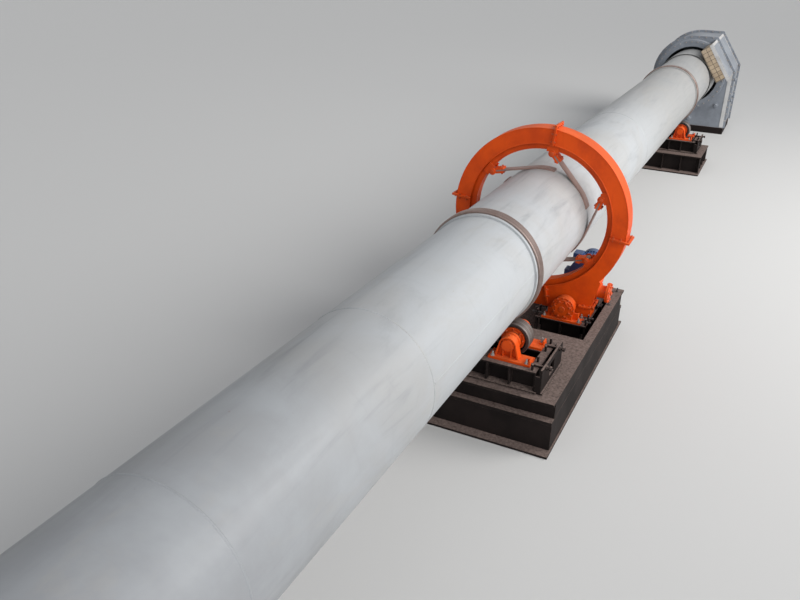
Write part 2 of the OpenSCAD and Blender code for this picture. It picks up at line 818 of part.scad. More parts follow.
module cover_pinion_box() {
    color(orange) on_axis() difference() {
        translate([gear_x, 0, 0]) {
            cover_extended(split_right, split_bottom) {
                box_outline(0);
                box_outline(cover_t);
            }
            rotate([split_right, 0, 0]) cover_flange(0.4);
            rotate([split_bottom, 0, 0]) cover_flange(-0.4 - cover_flange_t);
        }
        translate([0, pinion_y, pinion_z]) rod(shaft_r + 20, gear_x - cover_w, gear_x + cover_w);
    }
}

// Inspection port on the sloping side of the pinion box: a disc on the wall, a neck and two flanges
port_z = -661;
port_face = -748;
port_flange_t = 12;
module cover_port() {
    lean = atan((box_right_low - box_right) / (box_bend_z - box_joint_z));
    wall_y = box_right + (box_bend_z - port_z) * tan(lean);
    neck_l = wall_y - port_face;
    color(orange) on_axis() {
        translate([gear_x, wall_y, port_z]) rotate([90 + lean, 0, 0])
            translate([0, 0, 2 * seat_gap]) cylinder(h = port_flange_t, r = 84, $fn = 64);
        difference() {
            translate([gear_x, wall_y + 40, port_z]) rotate([90, 0, 0])
                cylinder(h = neck_l + 30, r = 62, $fn = 64);
            pull_x(gear_x - 200, gear_x + 200) box_outline(-seat_gap);
        }
        for (y = [0, port_flange_t + 2]) translate([gear_x, port_face + y + port_flange_t, port_z])
            rotate([90, 0, 0]) cylinder(h = port_flange_t, r = 96, $fn = 64);
    }
}

// Hood and feed chamber, upright boxes with sloping shoulders

// Upright outline with sloping shoulders, all sides pulled in by inset
module gable(half, top_half, shoulder, top, inset) {
    tilt = atan((top - shoulder) / (half - top_half));
    low = inset * tan((90 - tilt) / 2);
    high = inset * tan(tilt / 2);
    polygon([[-half + inset, inset], [half - inset, inset], [half - inset, shoulder - low],
        [top_half - high, top - inset], [-top_half + high, top - inset], [-half + inset, shoulder - low]]);
}

hood_axis_z = axis_h - hood_x * slope / 100;
hood_top = hood_axis_z + hood_rise;
hood_shoulder = hood_axis_z + hood_shoulder_rise;
hood_left = hood_rise;
chamber_axis_z = axis_h + chamber_x * slope / 100;
chamber_top = chamber_axis_z + chamber_rise;
chamber_shoulder = chamber_axis_z + chamber_shoulder_rise;

// Length of the hood's right roof slope, and its distance from the kiln axis
roof_slope_l = norm([hood_top - hood_shoulder, hood_half_w - hood_top_half]);
roof_slope_r = (hood_top_half * (hood_top - hood_shoulder) + hood_rise * (hood_half_w - hood_top_half))
    / roof_slope_l;

// The hood is round to the left of the kiln and slopes to the right of it
module hood_outline(inset) {
    intersection() {
        gable(hood_half_w, hood_top_half, hood_shoulder, hood_top, inset);
        translate([-far, -far]) square([far, 2 * far]);
    }
    intersection() {
        translate([0, hood_axis_z]) circle(r = hood_left - inset, $fn = 96);
        translate([-1, 0]) square(far);
    }
    translate([-1, inset]) square([hood_left - inset + 1, hood_axis_z - inset]);
}

module chamber_outline(inset) {
    gable(chamber_half_w, chamber_top_half, chamber_shoulder, chamber_top, inset);
}

// Flange that stands out round the walls and the roof, from child 1 to child 0
flange_lip = 45;
module roof_flange(x0, x1) {
    pull_x(x0, x1) difference() {
        children(0);
        children(1);
        translate([-far, -far]) square([2 * far, far + hood_plinth_h]);
    }
}

hood_flange_t = 12;
door_half_w = 330;
door_low = 260;
door_high = 820;
door_t = 30;

module hood_front() {
    color(hood_grey) difference() {
        pull_x(hood_x, hood_x + hood_t) hood_outline(0);
        on_axis() rod(hood_hole_r, hood_x - 200, hood_x + 200);
    }
}

module hood_body() {
    x0 = hood_x + hood_t;
    x1 = hood_x + hood_l - hood_t;
    color(hood_grey) {
        pull_x(x0, x1) difference() {
            hood_outline(0);
            hood_outline(hood_t);
        }
        for (x = [x0, x1 - hood_flange_t]) roof_flange(x, x + hood_flange_t) {
            hood_outline(-flange_lip);
            hood_outline(0);
        }
    }
}

module hood_back() {
    x0 = hood_x + hood_l - hood_t;
    color(hood_grey) {
        difference() {
            pull_x(x0, x0 + hood_t) hood_outline(0);
            translate([0, 0, hood_axis_z]) rod(120, x0 - 1, x0 + hood_t + 1);
        }
        translate([0, 0, hood_axis_z]) {
            tube(140, 120, x0 + hood_t, x0 + hood_t + 90);
            rod(170, x0 + hood_t + 90, x0 + hood_t + 104);
        }
        // Access door
        block([x0 + hood_t, -door_half_w, door_low], [x0 + hood_t + door_t, door_half_w, door_high]);
    }
}

module hood_plinth() {
    out = 14;
    color(frame_grey) difference() {
        block([hood_x - out, -hood_half_w - out, 0], [hood_x + hood_l + out, hood_left + out, hood_plinth_h]);
        block([hood_x, -hood_half_w, -1], [hood_x + hood_l, hood_left, hood_plinth_h + 1]);
    }
}

// The collar round the opening ends a little under the roof slope
collar_l = 150;
collar_gap = 21;
collar_t = roof_slope_r - hood_t - collar_gap - hood_hole_r;

module hood_collar() {
    color(hood_grey) difference() {
        on_axis() tube(hood_hole_r + collar_t, hood_hole_r, hood_x - collar_l, hood_x + 100);
        block([hood_x, -far, -far], [far, far, far]);
    }
}

// Brick-lined canopy over the right shoulder of the shell, ahead of the hood's sloping roof
canopy_l = 900;
lining_gap = 21;
canopy_t = roof_slope_r - hood_t - lining_gap - shell_r - sleeve_gap - sleeve_t;
canopy_low = 60;
canopy_high = 12;

// Frame on the hood's right roof slope: Y runs down the slope from its upper edge, Z points outwards
module on_roof_slope() {
    tilt = atan((hood_top - hood_shoulder) / (hood_half_w - hood_top_half));
    translate([0, -hood_top_half, hood_top]) rotate([tilt, 0, 0]) mirror([0, 1, 0]) children();
}

module hood_lining() {
    color([0.66, 0.6, 0.5]) on_roof_slope()
        block([hood_x - canopy_l, canopy_high, -hood_t - canopy_t],
            [hood_x - collar_l - 12, roof_slope_l - canopy_low, -hood_t - seat_gap]);
}

module hood_canopy() {
    x0 = hood_x - canopy_l;
    color(hood_grey) on_roof_slope() {
        block([x0, 0, -hood_t], [hood_x - 1, roof_slope_l, 0]);
        block([x0, -10, -hood_t], [x0 + hood_flange_t, roof_slope_l + 10, flange_lip + 10]);
    }
}

chute_r = 110;
chute_l = 260;

module chamber_front() {
    color(hood_grey) {
        difference() {
            pull_x(-chamber_x - hood_t, -chamber_x) chamber_outline(0);
            on_axis() rod(shell_r + 24, -chamber_x - 200, -chamber_x + 200);
        }
        difference() {
            on_axis() tube(shell_r + 90, shell_r + 24, -chamber_x - 100, -chamber_x + 90);
            block([-far, -far, -far], [-chamber_x, far, far]);
        }
    }
}

module chamber_body() {
    x0 = -chamber_x - chamber_l + hood_t;
    x1 = -chamber_x - hood_t;
    color(hood_grey) difference() {
        union() {
            pull_x(x0, x1) difference() {
                chamber_outline(0);
                chamber_outline(hood_t);
            }
            for (x = [x0, x1 - hood_flange_t]) roof_flange(x, x + hood_flange_t) {
                chamber_outline(-flange_lip);
                chamber_outline(0);
            }
        }
        translate([-chamber_x - chamber_l / 2, 0, chamber_top - 100]) cylinder(h = 200, r = chute_r, $fn = 64);
    }
}

module chamber_back() {
    x0 = -chamber_x - chamber_l;
    color(hood_grey) {
        pull_x(x0, x0 + hood_t) chamber_outline(0);
        block([x0 - door_t, -door_half_w, door_low], [x0, door_half_w, door_high]);
    }
}

module feed_chute() {
    color(hood_grey) translate([-chamber_x - chamber_l / 2, 0, chamber_top]) difference() {
        union() {
            cylinder(h = chute_l, r = chute_r + 6, $fn = 64);
            for (z = [0, chute_l - hood_flange_t]) translate([0, 0, z])
                cylinder(h = hood_flange_t, r = chute_r + 55, $fn = 64);
        }
        translate([0, 0, -1]) cylinder(h = chute_l + 2, r = chute_r, $fn = 64);
    }
}

shell_course(feed_end, -feed_joint);  // shell_feed
shell_course(-feed_joint, middle_joint);  // shell_middle
shell_course(middle_joint, discharge_end);  // shell_discharge
tyre(0);  // tyre_feed
tyre(tyre_span);  // tyre_discharge
stop_rings(0);  // stop_rings_feed
stop_rings(tyre_span);  // stop_rings_discharge
girth_gear();
spring_plates();
end_sleeve();
pinion();
coupling();
roller(0, 1);  // roller_feed_left
roller(0, -1);  // roller_feed_right
roller(tyre_span, 1);  // roller_discharge_left
roller(tyre_span, -1);  // roller_discharge_right
main_base();
discharge_base();
roller_frame(0);  // roller_frame_feed
roller_frame(tyre_span);  // roller_frame_discharge
adjusters(0);  // adjusters_feed
adjusters(tyre_span);  // adjusters_discharge
bearings(0, 1);  // bearings_feed_left
bearings(0, -1);  // bearings_feed_right
bearings(tyre_span, 1);  // bearings_discharge_left
bearings(tyre_span, -1);  // bearings_discharge_right
drive_frame();
pinion_bearings();
reducer();
motor();
cover_top_left();
cover_top_right();
cover_pinion_box();
cover_bottom_left();
cover_port();
hood_front();
hood_body();
hood_back();
hood_plinth();
hood_collar();
hood_lining();
hood_canopy();
chamber_front();
chamber_body();
chamber_back();
feed_chute();
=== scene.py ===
import json
import math

import bmesh
import bpy
from mathutils import Euler, Matrix, Vector


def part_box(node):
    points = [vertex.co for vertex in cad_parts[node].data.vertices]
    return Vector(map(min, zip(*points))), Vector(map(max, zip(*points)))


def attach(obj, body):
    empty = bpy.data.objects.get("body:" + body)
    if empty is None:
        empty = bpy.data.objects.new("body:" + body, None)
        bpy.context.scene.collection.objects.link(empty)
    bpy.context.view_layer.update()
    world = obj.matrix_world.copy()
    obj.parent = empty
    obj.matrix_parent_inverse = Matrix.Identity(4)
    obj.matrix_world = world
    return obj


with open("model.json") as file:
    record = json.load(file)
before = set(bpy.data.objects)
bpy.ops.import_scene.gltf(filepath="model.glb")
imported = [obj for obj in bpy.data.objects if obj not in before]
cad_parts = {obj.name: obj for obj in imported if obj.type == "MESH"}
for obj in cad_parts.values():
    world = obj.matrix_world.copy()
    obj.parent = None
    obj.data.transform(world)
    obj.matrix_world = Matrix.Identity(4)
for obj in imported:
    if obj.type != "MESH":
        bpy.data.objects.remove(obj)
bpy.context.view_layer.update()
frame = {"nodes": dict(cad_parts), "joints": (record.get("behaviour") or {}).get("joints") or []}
print("frame loaded:", len(frame["nodes"]), "nodes")

# The sloping frame of the kiln: X runs down its axis, Z stands square to it
joints = {j["name"]: j for j in frame["joints"]}
kilnCentre = Vector(joints["kiln_turn"]["pos_m"])
kilnAxis = Vector(joints["kiln_turn"]["axis"]).normalized()
kilnLeft = Vector((0, 1, 0))
kilnUp = kilnAxis.cross(kilnLeft)
kilnFrame = Matrix.Translation(kilnCentre) @ Matrix((kilnAxis, kilnLeft, kilnUp)).transposed().to_4x4()
kilnSlope = math.atan2(-kilnAxis.z, kilnAxis.x)


def kilnBox(node):
    # Lowest and highest corner of a node in the sloping frame
    back = kilnFrame.inverted()
    points = [back @ v.co for v in frame["nodes"][node].data.vertices]
    low = Vector([min(p[i] for p in points) for i in range(3)])
    high = Vector([max(p[i] for p in points) for i in range(3)])
    return low, high


def jointCentre(name):
    return kilnFrame.inverted() @ Vector(joints[name]["pos_m"])


shellLow, shellHigh = kilnBox("shell_middle")
shellRadius = (shellHigh.y - shellLow.y) / 2
tyrePlaces = [sum(v.x for v in kilnBox(n)) / 2 for n in ("tyre_feed", "tyre_discharge")]
gearLow, gearHigh = kilnBox("girth_gear")
gearPlace = (gearLow.x + gearHigh.x) / 2
pinionCentre = jointCentre("pinion_turn")
rollerCentre = jointCentre("roller_a_turn")
bearingFootTop = rollerCentre.z - 0.105


# Short ways to wire material nodes

def wire(tree, kind, values=None, outlet=0, **settings):
    # Adds a node, fills its sockets by name or number, and returns one of its outlets
    node = tree.nodes.new(kind)
    for name, value in settings.items():
        setattr(node, name, value)
    for name, value in (values or {}).items():
        socket = node.inputs[name]
        if isinstance(value, bpy.types.NodeSocket):
            tree.links.new(value, socket)
        else:
            socket.default_value = value
    return node.outputs[outlet]


def maths(tree, operation, a, b=0.0, clamp=False):
    return wire(tree, "ShaderNodeMath", {0: a, 1: b}, operation=operation, use_clamp=clamp)


def product(tree, a, b):
    return maths(tree, "MULTIPLY", a, b)


def partsOf(tree, vector):
    # The X, Y and Z sockets of a vector
    node = tree.nodes.new("ShaderNodeSeparateXYZ")
    tree.links.new(vector, node.inputs[0])
    return node.outputs


def mixed(tree, factor, a, b, blend="MIX"):
    node = tree.nodes.new("ShaderNodeMix")
    node.data_type = "RGBA"
    node.blend_type = blend
    for index, value in ((0, factor), (6, a), (7, b)):
        if isinstance(value, bpy.types.NodeSocket):
            tree.links.new(value, node.inputs[index])
        elif index == 0:
            node.inputs[index].default_value = value
        else:
            node.inputs[index].default_value = (*value, 1)
    return node.outputs[2]


def stretched(tree, place, factors):
    return wire(tree, "ShaderNodeVectorMath", {0: place, 1: factors}, operation="MULTIPLY")


def noise(tree, place, scale, detail=3.0, roughness=0.5, distortion=0.0):
    return wire(tree, "ShaderNodeTexNoise", {"Vector": place, "Scale": scale, "Detail": detail,
                                             "Roughness": roughness, "Distortion": distortion})


def spread(tree, value, low, high, toLow=0.0, toHigh=1.0):
    # Smooth step from low to high
    return wire(tree, "ShaderNodeMapRange", {"Value": value, "From Min": low, "From Max": high,
                                             "To Min": toLow, "To Max": toHigh},
                interpolation_type="SMOOTHSTEP")


def placeIn(tree, centre, turned):
    # Position in the frame of a turned part: X along its axis
    place = wire(tree, "ShaderNodeTexCoord", outlet=3)
    return wire(tree, "ShaderNodeMapping", {"Vector": place, "Location": centre, "Rotation": (0, turned, 0)},
                vector_type="TEXTURE")


def radiusOf(tree, place):
    parts = partsOf(tree, place)
    square = maths(tree, "ADD", product(tree, parts[1], parts[1]), product(tree, parts[2], parts[2]))
    return maths(tree, "SQRT", square), parts


def edgeMask(tree, size):
    # White along sharp edges, from the difference between the bevelled and the true normal
    soft = wire(tree, "ShaderNodeBevel", {"Radius": size}, samples=4)
    true = wire(tree, "ShaderNodeNewGeometry", outlet=1)
    same = wire(tree, "ShaderNodeVectorMath", {0: soft, 1: true}, outlet=1, operation="DOT_PRODUCT")
    return spread(tree, same, 0.99, 0.8)


def startMaterial(name):
    material = bpy.data.materials.new(name)
    material.use_nodes = True
    tree = material.node_tree
    return material, tree, tree.nodes["Principled BSDF"]


def finishMaterial(tree, shader, colour, roughness, height, bumpDepth, rounding=0.0):
    tree.links.new(colour, shader.inputs["Base Color"])
    tree.links.new(roughness, shader.inputs["Roughness"])
    bump = tree.nodes.new("ShaderNodeBump")
    bump.inputs["Strength"].default_value = 1.0
    bump.inputs["Distance"].default_value = bumpDepth
    tree.links.new(height, bump.inputs["Height"])
    if rounding:
        tree.links.new(wire(tree, "ShaderNodeBevel", {"Radius": rounding}, samples=4), bump.inputs["Normal"])
    tree.links.new(bump.outputs[0], shader.inputs["Normal"])


# Materials

shellPaint = {
    "colour": (0.42, 0.437, 0.452),
    "warmDust": (0.36, 0.34, 0.31),
    "farShadeColour": (0.29, 0.288, 0.282),
    "nearShadeColour": (0.21, 0.218, 0.235),
    "greySmear": (0.235, 0.245, 0.26),
    "rust": (0.2, 0.09, 0.045),
    "farEndShade": (2.6, 7.0),
    "nearEndShade": (-0.6, -4.6),
    "roughness": (0.38, 0.62),
    "bump": 0.0015,
}


def makeShellPaint():
    s = shellPaint
    material, tree, shader = startMaterial("shellPaint")
    place = placeIn(tree, kilnCentre, kilnSlope)
    clouds = noise(tree, place, 1.1, 5, 0.6, 0.4)
    lengthwise = noise(tree, stretched(tree, place, (0.9, 11, 11)), 1.0, 4, 0.6, 0.6)
    around = noise(tree, stretched(tree, place, (16, 1.6, 1.6)), 1.0, 4, 0.6, 0.3)
    fine = noise(tree, place, 60, 3, 0.6)
    along = partsOf(tree, place)[0]
    colour = mixed(tree, spread(tree, clouds, 0.4, 0.75, 0, 0.5), s["colour"], s["warmDust"])
    # Darker grey towards the far end: painted shade for the softer light at the far end of the shell
    colour = mixed(tree, spread(tree, along, *s["farEndShade"], 0, 0.85), colour, s["farShadeColour"])
    # Darker grey towards the near end, in patches: painted shade for the weaker light at the near end of the
    # shell
    nearEndShade = spread(tree, along, *s["nearEndShade"], 0, 0.8)
    nearEndShade = product(tree, nearEndShade, spread(tree, clouds, 0.15, 0.6, 0.5, 1.0))
    colour = mixed(tree, nearEndShade, colour, s["nearShadeColour"])
    smear = product(tree, spread(tree, lengthwise, 0.52, 0.8), spread(tree, clouds, 0.35, 0.62))
    colour = mixed(tree, product(tree, smear, 0.7), colour, s["greySmear"])
    patches = noise(tree, stretched(tree, place, (0.55, 1.3, 1.3)), 1.7, 6, 0.68, 0.8)
    colour = mixed(tree, spread(tree, patches, 0.52, 0.68, 0, 0.34), colour, s["greySmear"])
    colour = mixed(tree, spread(tree, patches, 0.46, 0.3, 0, 0.3), colour, s["warmDust"])
    rings = spread(tree, around, 0.55, 0.85, 0, 0.22)
    colour = mixed(tree, rings, colour, s["greySmear"])
    scuffs = noise(tree, stretched(tree, place, (2.5, 60, 60)), 1.0, 2, 0.5)
    scuffs = product(tree, spread(tree, scuffs, 0.68, 0.76), spread(tree, clouds, 0.5, 0.7))
    colour = mixed(tree, product(tree, scuffs, 0.3), colour, s["greySmear"])
    specks = wire(tree, "ShaderNodeTexVoronoi", {"Vector": place, "Scale": 7.0, "Randomness": 1.0})
    specks = product(tree, spread(tree, specks, 0.055, 0.02), spread(tree, fine, 0.5, 0.62))
    specks = product(tree, specks, spread(tree, lengthwise, 0.5, 0.6))
    colour = mixed(tree, product(tree, specks, 0.75), colour, s["rust"])
    rough = wire(tree, "ShaderNodeMapRange", {"Value": lengthwise, "From Min": 0.2, "From Max": 0.8,
                                              "To Min": s["roughness"][0], "To Max": s["roughness"][1]})
    dents = noise(tree, place, 2.2, 1, 0.4)
    height = maths(tree, "ADD", product(tree, fine, 0.12), product(tree, dents, 2.2))
    finishMaterial(tree, shader, colour, rough, height, s["bump"])
    return material


def makePaint(name, colour, shade, dustAndTopLight, wearColour, roughness=(0.4, 0.6), dustAndTopLightAmount=0.4, wear=0.5,
              rounding=0.004, bump=0.0006, gloss=0.45):
    # Painted steel: uneven coat, dust and painted top light on what faces up, chips along the edges
    material, tree, shader = startMaterial(name)
    place = wire(tree, "ShaderNodeTexCoord", outlet=3)
    clouds = noise(tree, place, 3.5, 4, 0.6, 0.3)
    fine = noise(tree, place, 45, 3, 0.65)
    drips = noise(tree, stretched(tree, place, (22, 22, 2.5)), 1.0, 3, 0.6)
    base = mixed(tree, spread(tree, clouds, 0.35, 0.7), colour, shade)
    base = mixed(tree, spread(tree, drips, 0.55, 0.8, 0, 0.35), base, shade)
    up = partsOf(tree, wire(tree, "ShaderNodeNewGeometry", outlet=1))[2]
    # Lighter on what faces up: dust, and in part painted light on the lit tops
    upFacingDustAndLight = product(tree, spread(tree, up, 0.2, 0.95), spread(tree, fine, 0.25, 0.7, 0.4, 1.0))
    base = mixed(tree, product(tree, upFacingDustAndLight, dustAndTopLightAmount), base, dustAndTopLight)
    chips = product(tree, edgeMask(tree, 0.006), spread(tree, fine, 0.42, 0.6))
    base = mixed(tree, product(tree, chips, wear), base, wearColour)
    rough = wire(tree, "ShaderNodeMapRange", {"Value": clouds, "To Min": roughness[0],
                                              "To Max": roughness[1]})
    rough = maths(tree, "ADD", rough, product(tree, upFacingDustAndLight, 0.2), clamp=True)
    height = maths(tree, "ADD", product(tree, fine, 0.5), product(tree, drips, 0.3))
    finishMaterial(tree, shader, base, rough, height, bump, rounding)
    shader.inputs["Specular IOR Level"].default_value = gloss
    return material


def addBricks(material, corner, tilt, size):
    # Bricks of uneven tone with dark joints, on a grid in the plane square to the hood's roof
    tree = material.node_tree
    shader = tree.nodes["Principled BSDF"]
    base = shader.inputs["Base Color"].links[0].from_socket
    place = wire(tree, "ShaderNodeTexCoord", outlet=3)
    place = wire(tree, "ShaderNodeMapping", {"Vector": place, "Location": corner, "Rotation": (tilt, 0, 0)},
                 vector_type="TEXTURE")
    parts = partsOf(tree, place)
    flat = wire(tree, "ShaderNodeCombineXYZ", {0: parts[1], 1: parts[2], 2: 0.0})
    grid = {"Vector": flat, "Scale": 1.0, "Brick Width": size[0], "Row Height": size[1]}
    gaps = wire(tree, "ShaderNodeTexBrick", {**grid, "Mortar Size": 0.0045, "Mortar Smooth": 0.4},
                outlet=1, offset=0.0)
    tones = wire(tree, "ShaderNodeTexBrick", {**grid, "Mortar Size": 0.0, "Color1": (1, 1, 1, 1),
                                              "Color2": (0.5, 0.46, 0.4, 1)}, offset=0.0)
    base = mixed(tree, 0.7, base, tones, "MULTIPLY")
    base = mixed(tree, gaps, base, (0.06, 0.045, 0.035))
    tree.links.new(base, shader.inputs["Base Color"])


def makeTurnedSteel(name, centre, colour, shade, rust, sideShadeRadius=0.0, paint=(0, 0, 0), pitch=0.0):
    # Steel turned on a lathe: fine rings round its axis, paint inside a radius, which on the rollers is
    # near-black painted shade on the side faces, and dark lines at a pitch that are painted shade in grooves
    material, tree, shader = startMaterial(name)
    place = placeIn(tree, kilnFrame @ centre, kilnSlope)
    radius, parts = radiusOf(tree, place)
    rings = wire(tree, "ShaderNodeCombineXYZ", {0: parts[0], 1: radius})
    grooves = noise(tree, stretched(tree, rings, (420, 420, 1)), 1.0, 2, 0.6)
    bands = noise(tree, stretched(tree, rings, (38, 38, 1)), 1.0, 2, 0.5)
    clouds = noise(tree, place, 7, 4, 0.6, 0.5)
    fine = noise(tree, place, 90, 3, 0.6)
    base = mixed(tree, spread(tree, bands, 0.35, 0.65), colour, shade)
    base = mixed(tree, spread(tree, clouds, 0.42, 0.75, 0, 0.7), base, rust)
    base = mixed(tree, spread(tree, grooves, 0.4, 0.7, 0, 0.35), base, shade)
    if pitch:
        # Dark lines at the pitch: painted shade in the turned grooves
        wave = maths(tree, "SINE", product(tree, parts[0], 2 * math.pi / pitch))
        grooveShade = product(tree, spread(tree, wave, 0.6, 0.95), spread(tree, clouds, 0.2, 0.6, 0.4, 0.9))
        base = mixed(tree, grooveShade, base, tuple(0.35 * c for c in shade))
    metallic = 0.75
    rough = wire(tree, "ShaderNodeMapRange", {"Value": clouds, "To Min": 0.32, "To Max": 0.68})
    # Near-black inside the radius: painted shade on the dished side faces
    if sideShadeRadius:
        painted = spread(tree, radius, sideShadeRadius + 0.003, sideShadeRadius - 0.003)
        sideShade = mixed(tree, spread(tree, clouds, 0.4, 0.7), paint, tuple(0.7 * c for c in paint))
        base = mixed(tree, painted, base, sideShade)
        tree.links.new(maths(tree, "SUBTRACT", metallic, product(tree, painted, metallic)),
                       shader.inputs["Metallic"])
    else:
        shader.inputs["Metallic"].default_value = metallic
    height = maths(tree, "ADD", product(tree, grooves, 0.7), product(tree, fine, 0.4))
    finishMaterial(tree, shader, base, rough, height, 0.0004, 0.003)
    return material


paints = {
    "shell": makeShellPaint(),
    # The orange's pale up-facing colour is dust and a painted highlight on the top of the rim
    "orange": makePaint("orangePaint", (0.72, 0.078, 0.004), (0.54, 0.052, 0.004), (0.82, 0.25, 0.085),
                        (0.2, 0.09, 0.05), roughness=(0.38, 0.55), dustAndTopLightAmount=0.3, wear=0.45, gloss=0.2),
    "orangeBolts": makePaint("orangeBolts", (0.6, 0.07, 0.006), (0.4, 0.05, 0.008), (0.78, 0.27, 0.1),
                             (0.32, 0.16, 0.1), roughness=(0.36, 0.5), dustAndTopLightAmount=0.25, wear=0.5,
                             rounding=0.0012, gloss=0.32),
    # The frame's near-black coat is partly painted shade for its sides down in the pit, and its pale deck is
    # dust and partly painted light on the lit top
    "frame": makePaint("framePaint", (0.016, 0.0118, 0.011), (0.01, 0.0078, 0.0074), (0.25, 0.187, 0.165),
                       (0.17, 0.12, 0.1), roughness=(0.55, 0.75), dustAndTopLightAmount=0.88, wear=0.45, gloss=0.08),
    "trim": makePaint("trimPaint", (0.5, 0.5, 0.5), (0.38, 0.37, 0.36), (0.5, 0.48, 0.45), (0.2, 0.14, 0.1),
                      roughness=(0.45, 0.65), dustAndTopLightAmount=0.3, wear=0.5, rounding=0.002),
    "hood": makePaint("hoodPaint", (0.2, 0.22, 0.25), (0.15, 0.165, 0.19), (0.4, 0.41, 0.43),
                      (0.5, 0.5, 0.5), roughness=(0.45, 0.65), dustAndTopLightAmount=0.45, wear=0.6),
    "drive": makePaint("drivePaint", (0.03, 0.075, 0.21), (0.022, 0.05, 0.13), (0.2, 0.2, 0.21),
                       (0.2, 0.2, 0.22), roughness=(0.35, 0.5), dustAndTopLightAmount=0.4, wear=0.5),
    "springPlate": makePaint("springPlate", (0.3, 0.19, 0.16), (0.2, 0.12, 0.1), (0.35, 0.28, 0.25),
                             (0.12, 0.08, 0.07), roughness=(0.4, 0.6), dustAndTopLightAmount=0.3, wear=0.3),
    "brick": makePaint("brick", (0.5, 0.4, 0.28), (0.36, 0.28, 0.2), (0.5, 0.45, 0.38),
                       (0.3, 0.22, 0.15), roughness=(0.75, 0.9), dustAndTopLightAmount=0.2, wear=0.4, bump=0.004),
    # The tyre's dark lines every 18.5 mm are painted shade in grooves
    "tyre": makeTurnedSteel("tyreSteel", Vector((0, 0, 0)), (0.27, 0.21, 0.19), (0.2, 0.15, 0.135),
                            (0.16, 0.095, 0.07), pitch=0.0185),
    "pinion": makeTurnedSteel("pinionSteel", pinionCentre, (0.2, 0.17, 0.15), (0.12, 0.1, 0.09),
                              (0.1, 0.06, 0.045)),
    "darkBolts": makePaint("darkBolts", (0.06, 0.052, 0.05), (0.035, 0.03, 0.03), (0.16, 0.13, 0.12),
                           (0.3, 0.27, 0.26), roughness=(0.4, 0.6), dustAndTopLightAmount=0.4, wear=0.6,
                           rounding=0.0015),
    "zinc": makePaint("zincBolts", (0.3, 0.29, 0.28), (0.2, 0.17, 0.15), (0.3, 0.26, 0.23),
                      (0.45, 0.44, 0.43), roughness=(0.35, 0.6), dustAndTopLightAmount=0.3, wear=0.5, rounding=0.0015),
}
rollers = ("roller_a", "roller_b", "roller_c", "roller_d")
for name in rollers:
    # On the rollers: near-black inside r 0.131 as painted shade on the side faces, and dark lines every 24
    # mm as painted shade in grooves
    paints[name] = makeTurnedSteel(name + "Steel", jointCentre(name + "_turn"), (0.21, 0.19, 0.18),
                                   (0.12, 0.1, 0.09), (0.14, 0.07, 0.05), 0.131, (0.02, 0.018, 0.017), 0.024)

nodePaints = {
    "shell": ("shell_feed", "shell_middle", "shell_discharge", "stop_rings_feed", "stop_rings_discharge",
              "end_sleeve"),
    "tyre": ("tyre_feed", "tyre_discharge"),
    "orange": ("girth_gear", "coupling", "bearings_feed_left", "bearings_feed_right",
               "bearings_discharge_left", "bearings_discharge_right", "pinion_bearings", "cover_top_left",
               "cover_top_right", "cover_pinion_box", "cover_bottom_left", "cover_port"),
    "frame": ("main_base", "discharge_base", "roller_frame_feed", "roller_frame_discharge", "adjusters_feed",
              "adjusters_discharge", "drive_frame", "hood_plinth"),
    "hood": ("hood_front", "hood_body", "hood_back", "hood_collar", "hood_canopy", "chamber_front",
             "chamber_body", "chamber_back", "feed_chute"),
    "drive": ("reducer", "motor"),
    "springPlate": ("spring_plates",),
    "brick": ("hood_lining",),
    "pinion": ("pinion",),
    "roller_a": ("roller_feed_left",),
    "roller_b": ("roller_feed_right",),
    "roller_c": ("roller_discharge_left",),
    "roller_d": ("roller_discharge_right",),
}
for paint, nodes in nodePaints.items():
    for name in nodes:
        mesh = frame["nodes"][name].data
        mesh.materials.clear()
        mesh.materials.append(paints[paint])
print("materials on", sum(len(n) for n in nodePaints.values()), "nodes")


# Small parts in mesh code, drawn in the sloping frame in metres

def joinRings(bm, rings, closed=True):
    # Faces between each ring of points and the next
    for low, high in zip(rings, rings[1:]):
        for i in range(len(low) if closed else len(low) - 1):
            k = (i + 1) % len(low)
            bm.faces.new((low[i], low[k], high[k], high[i]))


def fasten(bm, place, facing, profile, sides, turn=0.0):
    # Turns a profile of (radius, height) pairs about a line through place; the top is closed
    facing = Vector(facing).normalized()
    axes = facing.to_track_quat("Z", "Y").to_matrix()
    rings = []
    for radius, height in profile:
        ring = []
        for i in range(sides):
            angle = turn + 2 * math.pi * i / sides
            spot = axes @ Vector((radius * math.cos(angle), radius * math.sin(angle), height))
            ring.append(bm.verts.new(Vector(place) + spot))
        rings.append(ring)
    joinRings(bm, rings)
    bm.faces.new(rings[-1])


def addBolt(bm, place, facing, size=0.012, stud=0.0, turn=0.3):
    # Washer, bevelled hexagon head and, where asked for, the end of the stud; size is half across corners
    s = size
    fasten(bm, place, facing, ((1.35 * s, 0), (1.35 * s, 0.2 * s), (1.25 * s, 0.28 * s)), 20)
    fasten(bm, place, facing, ((s, 0.2 * s), (s, 1.25 * s), (0.82 * s, 1.45 * s)), 6, turn)
    if stud:
        end = ((0.55 * s, s), (0.55 * s, 1.4 * s + stud), (0.42 * s, 1.5 * s + stud))
        fasten(bm, place, facing, end, 12)


def addBoltCircle(bm, centre, facing, radius, count, size, stud=0.0, first=0.0):
    # Even ring of bolts that face along X, Y or Z
    sides = [axis for axis, part in zip(Matrix.Identity(3), facing) if not part]
    for k in range(count):
        angle = first + 2 * math.pi * k / count
        spot = Vector(centre) + radius * (math.cos(angle) * sides[0] + math.sin(angle) * sides[1])
        addBolt(bm, spot, facing, size, stud, turn=k)


